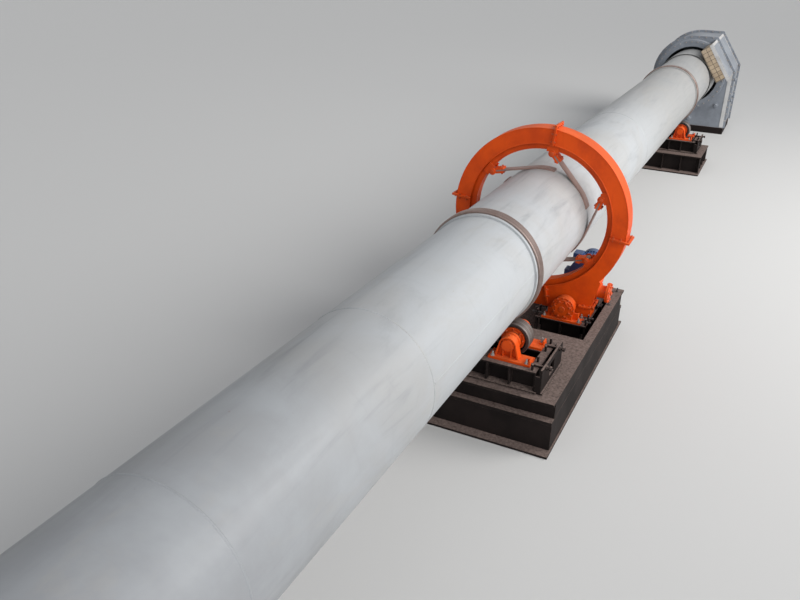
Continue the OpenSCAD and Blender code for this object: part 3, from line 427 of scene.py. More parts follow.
def addBlock(bm, corner, opposite, matrix=None, bevel=0.002):
    # Box with bevelled edges between two opposite corners
    low = Vector(map(min, corner, opposite))
    high = Vector(map(max, corner, opposite))
    part = bmesh.ops.create_cube(bm, size=1)
    move = Matrix.Translation((low + high) / 2) @ Matrix.Diagonal((*(high - low), 1))
    bmesh.ops.transform(bm, matrix=(matrix or Matrix()) @ move, verts=part["verts"])
    edges = list({e for v in part["verts"] for e in v.link_edges})
    bmesh.ops.bevel(bm, geom=edges, offset=bevel, segments=2, affect="EDGES", profile=0.6)


def addPipe(bm, points, radius, sides=12):
    # Round bar or weld along a line of points
    rings = []
    for i, point in enumerate(points):
        ahead = Vector(points[min(i + 1, len(points) - 1)]) - Vector(points[max(i - 1, 0)])
        axes = ahead.normalized().to_track_quat("Z", "Y").to_matrix()
        ring = []
        for k in range(sides):
            angle = 2 * math.pi * k / sides
            spot = axes @ Vector((radius * math.cos(angle), radius * math.sin(angle), 0))
            ring.append(bm.verts.new(Vector(point) + spot))
        rings.append(ring)
    joinRings(bm, rings)
    bm.faces.new(rings[-1])
    bm.faces.new(list(reversed(rings[0])))


def addPiece(name, bm, paint, body, smooth=False, world=False):
    bmesh.ops.recalc_face_normals(bm, faces=bm.faces)
    mesh = bpy.data.meshes.new(name)
    bm.to_mesh(mesh)
    bm.free()
    mesh.materials.append(paints[paint])
    if smooth:
        mesh.shade_smooth()
    piece = bpy.data.objects.new(name, mesh)
    bpy.context.scene.collection.objects.link(piece)
    if not world:
        piece.matrix_world = kilnFrame
    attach(piece, body)


def polar(x, radius, degrees):
    # Point at an angle about the kiln's axis, counted from +Y towards +Z
    angle = math.radians(degrees)
    return Vector((x, radius * math.cos(angle), radius * math.sin(angle)))


# Weld beads on the shell

welds = {
    "rings": (-3.66, -1.92, 4.3),
    "seams": ((170, -1.91, -0.09), (335, -3.65, -1.93), (20, -5.28, -3.67), (318, 0.2, 4.29),
              (28, 4.31, 8.3)),  # angle, start and end along the axis
    "profile": ((-1, -0.3), (-0.6, 0.62), (0, 1.0), (0.6, 0.62), (1, -0.3)),
    "width": 0.015,
    "height": 0.0034,
    "ripple": 0.0007,
    "ringSteps": 420,
    "seamStep": 0.012,
}


def addWelds(s):
    bm = bmesh.new()
    half = s["width"] / 2
    for n, x in enumerate(s["rings"]):
        rings = []
        for i in range(s["ringSteps"]):
            degrees = 360 * i / s["ringSteps"]
            wave = s["ripple"] * math.sin(i * 1.9 + n) + 0.5 * s["ripple"] * math.sin(i * 0.37)
            middle = x + 0.002 * math.sin(math.radians(degrees) * 3 + n)
            rings.append([bm.verts.new(polar(middle + u * half * (1 + 90 * wave),
                                             shellRadius + h * (s["height"] + wave), degrees))
                          for u, h in s["profile"]])
        joinRings(bm, rings + rings[:1], closed=False)
    for n, (degrees, x0, x1) in enumerate(s["seams"]):
        count = int((x1 - x0) / s["seamStep"])
        rings = []
        for i in range(count + 1):
            x = x0 + (x1 - x0) * i / count
            wave = s["ripple"] * math.sin(i * 1.9 + n)
            lean = degrees + 0.12 * math.sin(i * 0.05 + n)
            rings.append([bm.verts.new(polar(x, shellRadius + h * (s["height"] + wave),
                                             lean + math.degrees(u * half / shellRadius)))
                          for u, h in s["profile"]])
        joinRings(bm, rings, closed=False)
    addPiece("shellWelds", bm, "shell", "kiln", smooth=True)


addWelds(welds)

# Bolts on the joints and the rims of the gear cover

coverBolts = {
    "joints": (6, 96, 187, 258),
    "rim": 0.862,
    "cheek": 0.101,
    "across": (-0.072, -0.024, 0.024, 0.072),
    "along": (0.73, 0.8),
    "size": 0.0082,
    "sheet": 0.0086,
}


def addCoverBolts(s):
    bm = bmesh.new()
    for degrees in s["joints"]:
        turn = Matrix.Rotation(math.radians(degrees), 3, "X")
        for up in (-1, 1):
            facing = turn @ Vector((0, 0, up))
            spots = [(x, s["rim"]) for x in s["across"]]
            spots += [(side * s["cheek"], r) for side in (-1, 1) for r in s["along"]]
            for i, (x, r) in enumerate(spots):
                place = Vector((gearPlace, 0, 0)) + turn @ Vector((x, r, up * s["sheet"]))
                addBolt(bm, place, facing, s["size"], 0.012 if up < 0 else 0, turn=i * 1.7)
    addPiece("coverJointBolts", bm, "orangeBolts", "foundation")


addCoverBolts(coverBolts)

# The sheet cover's rolled edges: a thin bead round its rim and its opening

coverBeads = {
    "outer": 0.8405,
    "inner": 0.6945,
    "halfWidth": 0.0865,
    "thick": 0.0035,
    "bead": 0.0051,
    "outerArcs": ((7, 95), (97, 186)),
    "innerArcs": ((7, 95), (97, 186), (188, 257), (259, 365)),
}


def arcPoints(x, radius, start, end, step=2.0):
    count = max(2, int(abs(end - start) / step))
    return [polar(x, radius, start + (end - start) * i / count) for i in range(count + 1)]


def addCoverBeads(s):
    bm = bmesh.new()
    for side in (-1, 1):
        x = gearPlace + side * s["halfWidth"]
        for start, end in s["outerArcs"]:
            addPipe(bm, arcPoints(x, s["outer"] - s["thick"], start, end), s["bead"], 8)
        for start, end in s["innerArcs"]:
            addPipe(bm, arcPoints(x, s["inner"] + s["thick"], start, end), s["bead"], 8)
    addPiece("coverEdgeBeads", bm, "orange", "foundation", smooth=True)


addCoverBeads(coverBeads)

# Lugs on the gear: cheek blocks, pin heads and the painted forks at the ends of the spring plates

lugs = {
    "first": 96,
    "count": 6,
    "radius": 0.613,
    "plateRadius": 0.4573,
    "cheekX": (0.0532, 0.0605),
    "cheekHalf": 0.056,
    "cheekTop": 0.69,
    "pinEnd": 0.059,
    "collar": ((0.034, 0), (0.034, 0.008), (0.031, 0.011)),
    "pin": ((0.019, 0), (0.019, 0.013), (0.016, 0.016)),
    "forkLength": 0.105,
    "forkHalf": 0.0455,
    "forkThick": 0.026,
    "plateHalf": 0.0071,
}


def addLugs(s):
    blocks = bmesh.new()
    pins = bmesh.new()
    reach = math.degrees(math.acos(s["plateRadius"] / s["radius"]))
    run = math.sqrt(s["radius"] ** 2 - s["plateRadius"] ** 2)
    middle = Matrix.Translation((gearPlace, 0, 0))
    for k in range(s["count"]):
        degrees = s["first"] + 360 * k / s["count"]
        turn = middle @ Matrix.Rotation(math.radians(degrees), 4, "X")
        for side in (-1, 1):
            near, far = (side * x for x in s["cheekX"])
            addBlock(blocks, (near, s["radius"] + 0.012, -s["cheekHalf"]),
                     (far, s["cheekTop"], s["cheekHalf"]), turn, 0.003)
            centre = turn @ Vector((side * s["pinEnd"], s["radius"], 0))
            facing = Vector((side, 0, 0))
            fasten(blocks, centre - facing * 0.006, facing, s["collar"], 32)
            fasten(pins, centre, facing, s["pin"], 24)
        along = middle @ Matrix.Rotation(math.radians(degrees + reach), 4, "X")
        half, start, end = s["forkHalf"], 0.012 - run, s["forkLength"] - run
        for up in (-1, 1):
            outside = s["plateRadius"] + up * s["forkThick"]
            addBlock(blocks, (-half, s["plateRadius"] + up * s["plateHalf"], start), (half, outside, end),
                     along, 0.003)
            facing = along.to_3x3() @ Vector((0, up, 0))
            for x in (-0.024, 0.024):
                addBolt(pins, along @ Vector((x, outside, end - 0.024)), facing, 0.0095)
    addPiece("gearLugBlocks", blocks, "orange", "kiln")
    addPiece("gearLugPins", pins, "orangeBolts", "kiln")


addLugs(lugs)

# Spring plate ends welded on the shell

springEnds = {"start": 7, "wrap": 24, "half": 0.046, "bead": 0.0035, "endBead": 0.0055, "endPoints": 14}


def addSpringWelds(s):
    bm = bmesh.new()
    reach = math.degrees(math.acos(lugs["plateRadius"] / lugs["radius"]))
    x0, x1 = gearPlace - s["half"], gearPlace + s["half"]
    for k in range(lugs["count"]):
        base = lugs["first"] + 360 * k / lugs["count"] + reach
        for x in (x0, x1):
            points = arcPoints(x, shellRadius + 0.0025, base + s["start"], base + s["wrap"], 1.0)
            addPipe(bm, points, s["bead"], 8)
        points = []
        for i in range(s["endPoints"] + 1):
            radius = shellRadius + 0.003 + 0.0006 * math.sin(i * 2.1)
            points.append(polar(x0 + (x1 - x0) * i / s["endPoints"], radius, base + s["wrap"] + 0.35))
        addPipe(bm, points, s["endBead"], 8)
    addPiece("springPlateWelds", bm, "springPlate", "kiln", smooth=True)


addSpringWelds(springEnds)

# Roller bearings: end cap screws, foot bolts and grease nipples

bearings = {
    "capFace": 0.1862,
    "capCircle": 0.0435,
    "footX": 0.205,
    "footShift": 0.032,
    "footSpread": 0.142,
    "boltSize": 0.0125,
    "nippleX": 0.15,
    "nippleRise": 0.0695,
    "nipple": ((0.006, 0), (0.006, 0.008), (0.0035, 0.01), (0.0035, 0.018)),
}


def addBearingBolts(s):
    feet = bmesh.new()
    caps = bmesh.new()
    up = (0, 0, 1)
    y, z = rollerCentre.y, rollerCentre.z
    for place in tyrePlaces:
        for side in (-1, 1):
            for end in (-1, 1):
                cap = (place + end * s["capFace"], side * y, z)
                addBoltCircle(caps, cap, (end, 0, 0), s["capCircle"], 6, 0.006, first=0.4)
                for k in (-1, 1):
                    across = side * (y + s["footShift"]) + k * s["footSpread"]
                    spot = (place + end * s["footX"], across, bearingFootTop)
                    addBolt(feet, spot, up, s["boltSize"], 0.02, turn=k)
                spot = (place + end * s["nippleX"], side * y, z + s["nippleRise"])
                fasten(caps, spot, up, s["nipple"], 10)
    addPiece("bearingFootBolts", feet, "zinc", "foundation")
    addPiece("bearingCapBolts", caps, "orangeBolts", "foundation")


addBearingBolts(bearings)

# Pinion bearings: bolts round the end covers and through the feet

pinionBearings = {
    "faces": (1.2135, 1.6215),
    "circle": 0.078,
    "flange": 0.104,
    "boss": ((0.03, -0.003), (0.03, 0.003), (0.026, 0.006)),
    "feet": (1.231, 1.338, 1.637, 1.696),
    "footSpread": 0.168,
    "footTop": -0.1055,
}


def addPinionBearingBolts(s):
    caps = bmesh.new()
    feet = bmesh.new()
    y, z = pinionCentre.y, pinionCentre.z
    facing = (-1, 0, 0)
    for x in s["faces"]:
        addBoltCircle(caps, (x + 0.0015, y, z), facing, s["circle"], 8, 0.0088, first=math.pi / 8)
        addBoltCircle(caps, (x + 0.0155, y, z), facing, s["flange"], 12, 0.0062)
        fasten(caps, (x - 0.003, y, z), facing, s["boss"], 40)
    for x in s["feet"]:
        for side in (-1, 1):
            spot = (x, y + side * s["footSpread"], z + s["footTop"])
            addBolt(feet, spot, (0, 0, 1), 0.0135, 0.018, turn=side)
    addPiece("pinionBearingCapBolts", caps, "orangeBolts", "foundation")
    addPiece("pinionBearingFootBolts", feet, "zinc", "foundation")


addPinionBearingBolts(pinionBearings)

# Set screws with lock nuts that line up the pinion bearings, on posts beside their feet

setScrews = {
    "xs": (1.238, 1.332, 1.65, 1.69),
    "deck": -0.126,
    "post": (0.016, 0.012, 0.07),
    "edge": 0.236,
    "footEdge": 0.1905,
    "rise": 0.036,
    "screw": 0.007,
    "nut": ((0.0125, 0), (0.0125, 0.01), (0.011, 0.0115)),
    "head": ((0.012, 0), (0.012, 0.014), (0.01, 0.0165)),
}


def addSetScrews(s):
    posts = bmesh.new()
    screws = bmesh.new()
    w, t, h = s["post"]
    y, z = pinionCentre.y, pinionCentre.z + s["deck"]
    line = z + s["rise"]
    for side in (-1, 1):
        facing = (0, side, 0)
        post = y + side * s["edge"]
        for x in s["xs"]:
            addBlock(posts, (x - w, post - t / 2, z), (x + w, post + t / 2, z + h), bevel=0.0015)
            points = [(x, y + side * s["footEdge"], line), (x, post + side * 0.05, line)]
            addPipe(screws, points, s["screw"], 12)
            fasten(screws, (x, post + side * 0.006, line), facing, s["nut"], 6)
            fasten(screws, (x, post + side * 0.034, line), facing, s["head"], 6)
    addPiece("setScrewPosts", posts, "frame", "foundation")
    addPiece("setScrews", screws, "darkBolts", "foundation")


addSetScrews(setScrews)

# Port in the gear cover: flange bolts, boss and plug

port = {
    "face": -0.7485,
    "back": -0.722,
    "z": -0.661,
    "circle": 0.081,
    "boss": ((0.052, -0.002), (0.052, 0.004), (0.048, 0.006)),
    "plug": ((0.02, 0.004), (0.02, 0.016), (0.016, 0.02)),
}


def addPortBolts(s):
    bm = bmesh.new()
    for y, side in ((s["face"], -1), (s["back"], 1)):
        addBoltCircle(bm, (gearPlace, y, s["z"]), (0, side, 0), s["circle"], 8, 0.0085, first=math.pi / 8)
    centre = (gearPlace, s["face"], s["z"])
    fasten(bm, centre, (0, -1, 0), s["boss"], 48)
    fasten(bm, centre, (0, -1, 0), s["plug"], 6)
    addPiece("portBolts", bm, "orangeBolts", "foundation")


addPortBolts(port)

# Coupling bolts

couplingBolts = {"face": 1.7588, "back": 1.7872, "circle": 0.073}


def addCouplingBolts(s):
    bm = bmesh.new()
    for x, facing in ((s["face"], -1), (s["back"], 1)):
        centre = (x, pinionCentre.y, pinionCentre.z)
        addBoltCircle(bm, centre, (facing, 0, 0), s["circle"], 6, 0.009)
    addPiece("couplingBolts", bm, "zinc", "pinion_shaft")


addCouplingBolts(couplingBolts)

# Roller end plates, bolted in front of the dished webs

rollerPlates = {"radius": 0.099, "inner": 0.0305, "outer": 0.057, "circle": 0.083}


def addRollerPlates(s):
    r, low, high = s["radius"], s["inner"], s["outer"]
    profile = ((0.066, low), (r - 0.006, low), (r, low + 0.006), (r, high - 0.003), (r - 0.003, high),
               (r - 0.012, high), (r - 0.014, high - 0.004), (0.07, high - 0.004), (0.067, high),
               (0.041, high))
    for name in rollers:
        centre = jointCentre(name + "_turn")
        plates = bmesh.new()
        bolts = bmesh.new()
        for side in (-1, 1):
            facing = (side, 0, 0)
            fasten(plates, centre, facing, profile, 64)
            face = centre + (high - 0.004) * Vector(facing)
            addBoltCircle(bolts, face, facing, s["circle"], 8, 0.008, 0.005)
        addPiece(name + "_plates", plates, "orange", name)
        addPiece(name + "_bolts", bolts, "orangeBolts", name)


addRollerPlates(rollerPlates)

# Lower joint of the pinion box: a bolted flange round its foot

boxJoint = {
    "z": -0.811,
    "right": -0.6085,
    "left": -0.19,
    "leftOnNearSide": -0.49,
    "halfX": 0.0885,
    "lip": 0.026,
    "thick": 0.008,
    "boltSize": 0.0085,
}


def addBoxJoint(s):
    strips = bmesh.new()
    bolts = bmesh.new()
    lip, half = s["lip"], s["halfX"]
    edge = s["right"] - lip
    for up in (-1, 1):
        low, high = s["z"] + up * 0.0004, s["z"] + up * (0.0004 + s["thick"])
        for side, end in ((-1, s["leftOnNearSide"]), (1, s["left"])):
            addBlock(strips, (gearPlace + side * (half - 0.0002), edge, low),
                     (gearPlace + side * (half + lip), end, high), bevel=0.0012)
        addBlock(strips, (gearPlace - half - lip, edge, low),
                 (gearPlace + half + lip, s["right"] + 0.0002, high), bevel=0.0012)
        for i in range(4):
            spot = (gearPlace - 0.08 + i * 0.0533, s["right"] - lip * 0.55, high)
            addBolt(bolts, spot, (0, 0, up), s["boltSize"], 0.008 if up < 0 else 0, turn=i)
        for y in (-0.6, -0.54):
            for side in (-1, 1):
                spot = (gearPlace + side * (half + lip * 0.5), y, high)
                addBolt(bolts, spot, (0, 0, up), s["boltSize"], turn=y)
    addPiece("boxJointFlange", strips, "orange", "foundation")
    addPiece("boxJointBolts", bolts, "orangeBolts", "foundation")


addBoxJoint(boxJoint)

# Main base: studs on its deck beside the drive

deckStuds = {"xs": (1.628, 1.983), "ys": (-0.732, 0.74), "deck": -0.85}


def addDeckStuds(s):
    bm = bmesh.new()
    for y in s["ys"]:
        for x in s["xs"]:
            addBolt(bm, (x, y, s["deck"]), (0, 0, 1), 0.0125, 0.022, turn=x)
    addPiece("deckStuds", bm, "darkBolts", "foundation")


addDeckStuds(deckStuds)

# Fillet welds where the frames stand on the decks

frameWelds = {
    "radius": 0.004,
    "step": 0.012,
    "deck": -0.8485,
    "end": (0.2945, 0.61),
    "side": (0.28, 0.657),
    "wellFloor": -1.1085,
    "driveSide": (1.2, 1.385, 0.257),
    "driveEnd": (1.1945, 0.256),
}


def weldLine(bm, start, end, s):
    start, end = Vector(start), Vector(end)
    count = max(2, int((end - start).length / s["step"]))
    points = []
    for i in range(count + 1):
        points.append(start.lerp(end, i / count) + Vector((0, 0, 0.0006 * math.sin(i * 2.3))))
    addPipe(bm, points, s["radius"], 6)


def addFrameWelds(s):
    bm = bmesh.new()
    z = s["deck"]
    endX, endY = s["end"]
    sideX, sideY = s["side"]
    for place in tyrePlaces:
        for side in (-1, 1):
            x, y = place + side * endX, side * sideY
            weldLine(bm, (x, -endY, z), (x, endY, z), s)
            weldLine(bm, (place - sideX, y, z), (place + sideX, y, z), s)
    z = s["wellFloor"]
    x0, x1, half = s["driveSide"]
    for side in (-1, 1):
        y = pinionCentre.y + side * half
        weldLine(bm, (x0, y, z), (x1, y, z), s)
    x, half = s["driveEnd"]
    weldLine(bm, (x, pinionCentre.y - half, z), (x, pinionCentre.y + half, z), s)
    addPiece("frameWelds", bm, "frame", "foundation", smooth=True)


addFrameWelds(frameWelds)

# Keeper posts beside the feet of the support bearings, and the ribbed ears that take the adjusting screws

keepers = {
    "xs": (0.1, 0.245),
    "foot": 0.5187,
    "gap": 0.022,
    "post": (0.012, 0.016, 0.05),
    "sunk": 0.02,
    "earX": 0.18,
    "ear": (0.035, 0.034),
    "rib": (0.026, 0.004, 0.016),
}


def addKeepers(s):
    posts = bmesh.new()
    ears = bmesh.new()
    w, t, h = s["post"]
    earHalf, earTop = s["ear"]
    ribX, ribHalf, ribTop = s["rib"]
    foot, low = s["foot"], bearingFootTop - 0.001
    for place in tyrePlaces:
        for side in (-1, 1):
            for end in (-1, 1):
                near, far = side * (foot + s["gap"]), side * (foot + s["gap"] + t)
                for x in s["xs"]:
                    middle = place + end * x
                    addBlock(posts, (middle - w, near, bearingFootTop - s["sunk"]),
                             (middle + w, far, bearingFootTop - s["sunk"] + h), bevel=0.0015)
                middle = place + end * s["earX"]
                addBlock(ears, (middle - earHalf, side * (foot - 0.013), low),
                         (middle + earHalf, side * (foot - 0.0005), bearingFootTop + earTop))
                for k in (-1, 1):
                    x = middle + k * ribX
                    addBlock(ears, (x - ribHalf, side * (foot - 0.045), low),
                             (x + ribHalf, side * (foot - 0.012), bearingFootTop + ribTop), bevel=0.001)
    addPiece("keeperPosts", posts, "frame", "foundation")
    addPiece("footEars", ears, "orange", "foundation")


addKeepers(keepers)

# Hood: the joints in its brick lining and the bolts round its flanges

hood = {
    "right": -0.75,
    "shoulder": 1.17,
    "topHalf": 0.36,
    "top": 1.742,
    "crown": 0.66,
    "foot": 0.2,
    "flanges": ((10.908, -1), (10.92, 1), (11.83, -1), (11.842, 1)),
    "boltSize": 0.0105,
    "brick": (0.078, 0.085),
}
slopeStart = Vector((0, -hood["topHalf"], hood["top"]))
slopeEnd = Vector((0, hood["right"], hood["shoulder"]))
slopeLength = (slopeEnd - slopeStart).length
slopeRun = (slopeEnd - slopeStart).normalized()
slopeOut = Vector((0, slopeRun.z, -slopeRun.y))
addBricks(paints["brick"], slopeStart, math.atan2(slopeRun.z, slopeRun.y), hood["brick"])


def spacedPoints(corners, step):
    # Points a step apart along a line of corners
    points = []
    left = step / 2
    for a, b in zip(corners, corners[1:]):
        length = (b - a).length
        while left <= length:
            points.append(a.lerp(b, left / length))
            left += step
        left -= length
    return points


def hoodOutline(s, out):
    # Corners from the right foot over the roof to the left foot, moved out
    right, radius, axisZ = s["right"] - out, s["crown"] + out, s["top"] - s["crown"]
    corners = [(right, s["foot"]), (right, s["shoulder"]), (-s["topHalf"], s["top"] + out)]
    for degrees in range(90, -1, -6):
        angle = math.radians(degrees)
        corners.append((radius * math.cos(angle), axisZ + radius * math.sin(angle)))
    corners.append((radius, s["foot"]))
    return [Vector((0, y, z)) for y, z in corners]


def addFlangeBolts(bm, flanges, corners, size):
    for x, facing in flanges:
        for i, spot in enumerate(spacedPoints(corners, 0.13)):
            addBolt(bm, (x + facing * 0.0003, spot.y, spot.z), (facing, 0, 0), size, turn=i)


def addHoodBolts(s):
    bm = bmesh.new()
    addFlangeBolts(bm, s["flanges"], hoodOutline(s, 0.024), s["boltSize"])
    addPiece("hoodFlangeBolts", bm, "zinc", "foundation", world=True)


addHoodBolts(hood)

# Knobs on the hood's front and right wall

hoodKnobs = {
    "face": 10.9,
    "front": ((-0.56, 0.54), (-0.11, 0.25)),
    "side": ((11.2, 0.6), (11.65, 0.6), (11.2, 1.0)),
    "profile": ((0.051, -0.002), (0.051, 0.006), (0.0272, 0.01), (0.0238, 0.03), (0.034, 0.04),
                (0.034, 0.052), (0.0255, 0.064)),
}


def addHoodKnobs(s):
    bm = bmesh.new()
    for y, z in s["front"]:
        fasten(bm, (s["face"], y, z), (-1, 0, 0), s["profile"], 28)
    for x, z in s["side"]:
        fasten(bm, (x, hood["right"], z), (0, -1, 0), s["profile"], 28)
    addPiece("hoodKnobs", bm, "hood", "foundation", world=True)


addHoodKnobs(hoodKnobs)

# Whitish flat bars along the hood's visible edges

hoodTrim = {"xs": (10.0, 10.9, 11.8), "width": 0.05, "thick": 0.006, "wall": (0.14, 1.16), "bevel": 0.0015}


def addHoodTrim(s):
    bm = bmesh.new()
    w, t, bevel = s["width"], s["thick"], s["bevel"]
    low, high = s["wall"]
    first, front, back = s["xs"]
    right = hood["right"]
    along = Matrix((Vector((1, 0, 0)), slopeRun, slopeOut)).transposed().to_4x4()
    onSlope = Matrix.Translation(slopeStart) @ along
    for x in s["xs"]:
        addBlock(bm, (x + 0.002, 0.0, 0.0002), (x + w, slopeLength - 0.01, t), onSlope, bevel)
    addBlock(bm, (first, 0.0, 0.0004), (back, w, t - 0.0008), onSlope, bevel)
    addBlock(bm, (first - 0.004, -0.01, -0.008), (first - 0.0003, slopeLength + 0.01, 0.055), onSlope, bevel)
    addBlock(bm, (front - 0.006, right, low - 0.01), (front - 0.0002, right + 0.062, high + 0.005),
             bevel=bevel)
    for x in (front, back):
        addBlock(bm, (x, right - t, low), (x + w, right + 0.0005, high), bevel=bevel)
    addPiece("hoodTrim", bm, "trim", "foundation", world=True)


addHoodTrim(hoodTrim)

# Seal plate that narrows the hood's mouth to the turning shell

sealRing = {"inner": 0.522, "outer": 0.625, "x": 10.75, "thick": 0.008, "steps": 144, "circle": 0.607,
            "bolts": 36, "boltSize": 0.0095}


def addSealRing(s):
    plate = bmesh.new()
    bolts = bmesh.new()
    t, n = s["thick"], s["steps"]
    rim = ((s["inner"], -t), (s["inner"], t * 0.75), (s["inner"] + t * 0.25, t), (s["outer"] - t * 0.25, t),
           (s["outer"], t * 0.75), (s["outer"], 0.0))
    rings = []
    for radius, height in rim:
        rings.append([plate.verts.new(polar(s["x"] - height, radius, 360 * i / n)) for i in range(n)])
    joinRings(plate, rings + rings[:1])
    addBoltCircle(bolts, (s["x"] - t, 0, 0), (-1, 0, 0), s["circle"], s["bolts"], s["boltSize"],
                  first=math.pi / s["bolts"])
    addPiece("hoodSealRing", plate, "hood", "foundation")
    addPiece("hoodSealBolts", bolts, "zinc", "foundation")


addSealRing(sealRing)

# Feed chamber: bolts round its flanges and round those of the chute

chamber = {
    "half": 0.68,
    "shoulder": 1.5,
    "topHalf": 0.3,
    "top": 2.02,
    "foot": 0.2,
    "flanges": ((-6.142, -1), (-6.13, 1), (-5.17, -1), (-5.158, 1)),
    "boltSize": 0.0105,
    "chuteCircle": 0.142,
    "chuteFlange": 0.012,
}


def gableOutline(s, out):
    half, top = s["half"] + out, s["top"] + out
    corners = ((-half, s["foot"]), (-half, s["shoulder"]), (-s["topHalf"], top), (s["topHalf"], top),
               (half, s["shoulder"]), (half, s["foot"]))
    return [Vector((0, y, z)) for y, z in corners]


def addChamberBolts(s):
    bm = bmesh.new()
    addFlangeBolts(bm, s["flanges"], gableOutline(s, 0.022), s["boltSize"])
    low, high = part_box("feed_chute")
    x, y = (low[0] + high[0]) / 2, (low[1] + high[1]) / 2
    for z in (high[2], low[2] + s["chuteFlange"]):
        addBoltCircle(bm, (x, y, z), (0, 0, 1), s["chuteCircle"], 12, s["boltSize"])
    addPiece("chamberBolts", bm, "zinc", "foundation", world=True)


addChamberBolts(chamber)

# Doors in the end walls: hinges, latch knobs and a handle

doors = {
    "walls": ((-6.18, -1), (11.88, 1)),
    "hinges": (0.38, 0.7),
    "hinge": (-0.36, -0.12, 0.02),
    "pin": (-0.348, 0.045, 0.013),
    "knobs": (0.34, 0.74),
    "knobY": 0.29,
    "knob": ((0.022, 0), (0.022, 0.012), (0.014, 0.016), (0.014, 0.03), (0.02, 0.032), (0.02, 0.05),
             (0.015, 0.056)),
    "handleY": 0.18,
    "handle": ((-0.002, 0.45), (0.04, 0.46), (0.05, 0.5), (0.05, 0.58), (0.04, 0.62), (-0.002, 0.63)),
}


def addDoorParts(s):
    bm = bmesh.new()
    y0, y1, half = s["hinge"]
    pinY, pinHalf, pinRadius = s["pin"]
    for x, out in s["walls"]:
        for z in s["hinges"]:
            addBlock(bm, (x - out * 0.001, y0, z - half), (x + out * 0.01, y1, z + half))
            points = [(x + out * 0.008, pinY, z - pinHalf), (x + out * 0.008, pinY, z + pinHalf)]
            addPipe(bm, points, pinRadius, 16)
        for z in s["knobs"]:
            fasten(bm, (x - out * 0.002, s["knobY"], z), (out, 0, 0), s["knob"], 20)
        addPipe(bm, [(x + out * reach, s["handleY"], z) for reach, z in s["handle"]], 0.008, 12)
    addPiece("doorFittings", bm, "frame", "foundation", world=True)


addDoorParts(doors)

# Motor and reducer: foot bolts, flange bolts and a filler plug

driveParts = {
    "foot": (0.014, 0.18, -0.1018),
    "coverCircle": 0.1,
    "motorCircle": 0.124,
    "motorRise": 0.11,
    "plug": ((0.018, 0), (0.018, 0.012), (0.011, 0.014), (0.011, 0.024)),
}


def addDriveParts(s):
    bm = bmesh.new()
    low, high = kilnBox("reducer")
    motorLow = kilnBox("motor")[0]
    y, z = pinionCentre.y, pinionCentre.z
    inset, footY, footZ = s["foot"]
    for side in (-1, 1):
        for x in (low.x + inset, high.x - inset):
            addBolt(bm, (x, y + side * footY, z + footZ), (0, 0, 1), 0.0115, 0.012)
    addBoltCircle(bm, (low.x + 0.006, y, z), (-1, 0, 0), s["coverCircle"], 8, 0.0085)
    fasten(bm, (low.x + 0.05, y, high.z - 0.002), (0, 0, 1), s["plug"], 6)
    addBoltCircle(bm, (motorLow.x + 0.02, y, z + s["motorRise"]), (1, 0, 0), s["motorCircle"], 8, 0.009,
                  first=math.pi / 8)
    addPiece("driveBolts", bm, "zinc", "foundation")


addDriveParts(driveParts)
print("small parts are set")

# Camera at the photograph's place, found from the circles of the tyre, gear and cover

cameraSettings = {
    "place": (-5.393, -1.962, 3.85),
    "yaw": 26.664,  # degrees to the left of +X
    "pitch": -26.553,
    "roll": 0.639,
    "lens": 35.086,
    "sensor": 36.0,
    "reach": 200,
}


def addCamera(s):
    data = bpy.data.cameras.new("camera")
    data.lens = s["lens"]
    data.sensor_width = s["sensor"]
    data.clip_end = s["reach"]
    camera = bpy.data.objects.new("camera", data)
    bpy.context.scene.collection.objects.link(camera)
    turn = Euler((math.radians(90 + s["pitch"]), 0, math.radians(s["yaw"] - 90))).to_matrix()
    roll = Matrix.Rotation(math.radians(s["roll"]), 3, "Z")
    camera.matrix_world = Matrix.Translation(s["place"]) @ (turn @ roll).to_4x4()
    bpy.context.scene.camera = camera


lights = {
    "key": {"towards": (-0.27, -0.88, 0.45), "power": 2.1, "spread": 40, "colour": (1, 0.99, 0.975)},
    "fill": {"towards": (-0.9, -0.25, 0.32), "power": 0.85, "spread": 60, "colour": (0.97, 0.985, 1)},
}
window = {"place": (5.5, -9, 7.5), "target": (3.2, 0, 1.1), "size": 7, "power": 900,
          "colour": (1, 0.99, 0.975)}


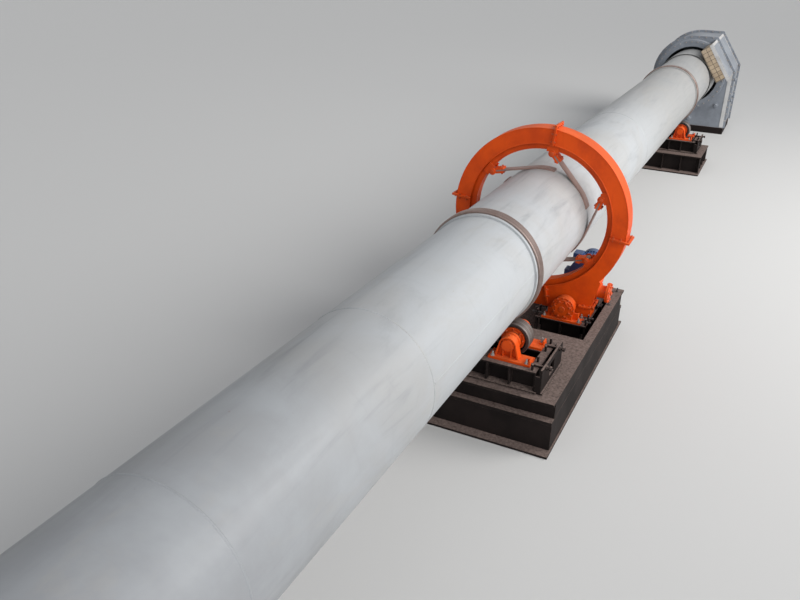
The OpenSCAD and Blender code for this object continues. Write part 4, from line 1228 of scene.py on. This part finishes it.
def addLight(name, kind, s, place, aim):
    data = bpy.data.lights.new(name, kind)
    data.energy = s["power"]
    data.color = s["colour"]
    light = bpy.data.objects.new(name, data)
    bpy.context.scene.collection.objects.link(light)
    light.matrix_world = Matrix.Translation(place) @ aim.to_track_quat("-Z", "Y").to_matrix().to_4x4()
    return data


def addLights():
    for name, s in lights.items():
        data = addLight(name, "SUN", s, (0, 0, 0), -Vector(s["towards"]))
        data.angle = math.radians(s["spread"])
    aim = Vector(window["target"]) - Vector(window["place"])
    data = addLight("window", "AREA", window, window["place"], aim)
    data.shape = "DISK"
    data.size = window["size"]


stageSettings = {
    "floorColour": (0.62, 0.615, 0.605),
    "seenColour": (0.86, 0.86, 0.86),
    "worldColour": (0.8, 0.84, 0.9),
    "worldStrength": 0.33,
    "size": 120,
}


def seenByCamera(tree):
    path = tree.nodes.new("ShaderNodeLightPath")
    seen = maths(tree, "ADD", path.outputs["Is Camera Ray"], path.outputs["Is Glossy Ray"], clamp=True)
    return maths(tree, "ADD", seen, path.outputs["Is Transmission Ray"], clamp=True)


def addStage(s):
    mesh = bpy.data.meshes.new("floor")
    half = s["size"] / 2
    corners = [(-half, -half, 0), (half, -half, 0), (half, half, 0), (-half, half, 0)]
    mesh.from_pydata(corners, [], [(0, 1, 2, 3)])
    floor = bpy.data.objects.new("floor", mesh)
    bpy.context.scene.collection.objects.link(floor)
    material, tree, shader = startMaterial("floorPaint")
    shader.inputs["Base Color"].default_value = (*s["floorColour"], 1)
    shader.inputs["Roughness"].default_value = 0.9
    mesh.materials.append(material)
    world = bpy.data.worlds.new("world")
    bpy.context.scene.world = world
    world.use_nodes = True
    tree = world.node_tree
    background = tree.nodes["Background"]
    seen = seenByCamera(tree)
    tree.links.new(mixed(tree, seen, s["worldColour"], s["seenColour"]), background.inputs["Color"])
    strength = maths(tree, "ADD", s["worldStrength"], product(tree, seen, 1 - s["worldStrength"]))
    tree.links.new(strength, background.inputs["Strength"])


addCamera(cameraSettings)
addLights()
addStage(stageSettings)
bpy.context.scene.view_settings.view_transform = "Standard"
print("camera, lights and floor are set")
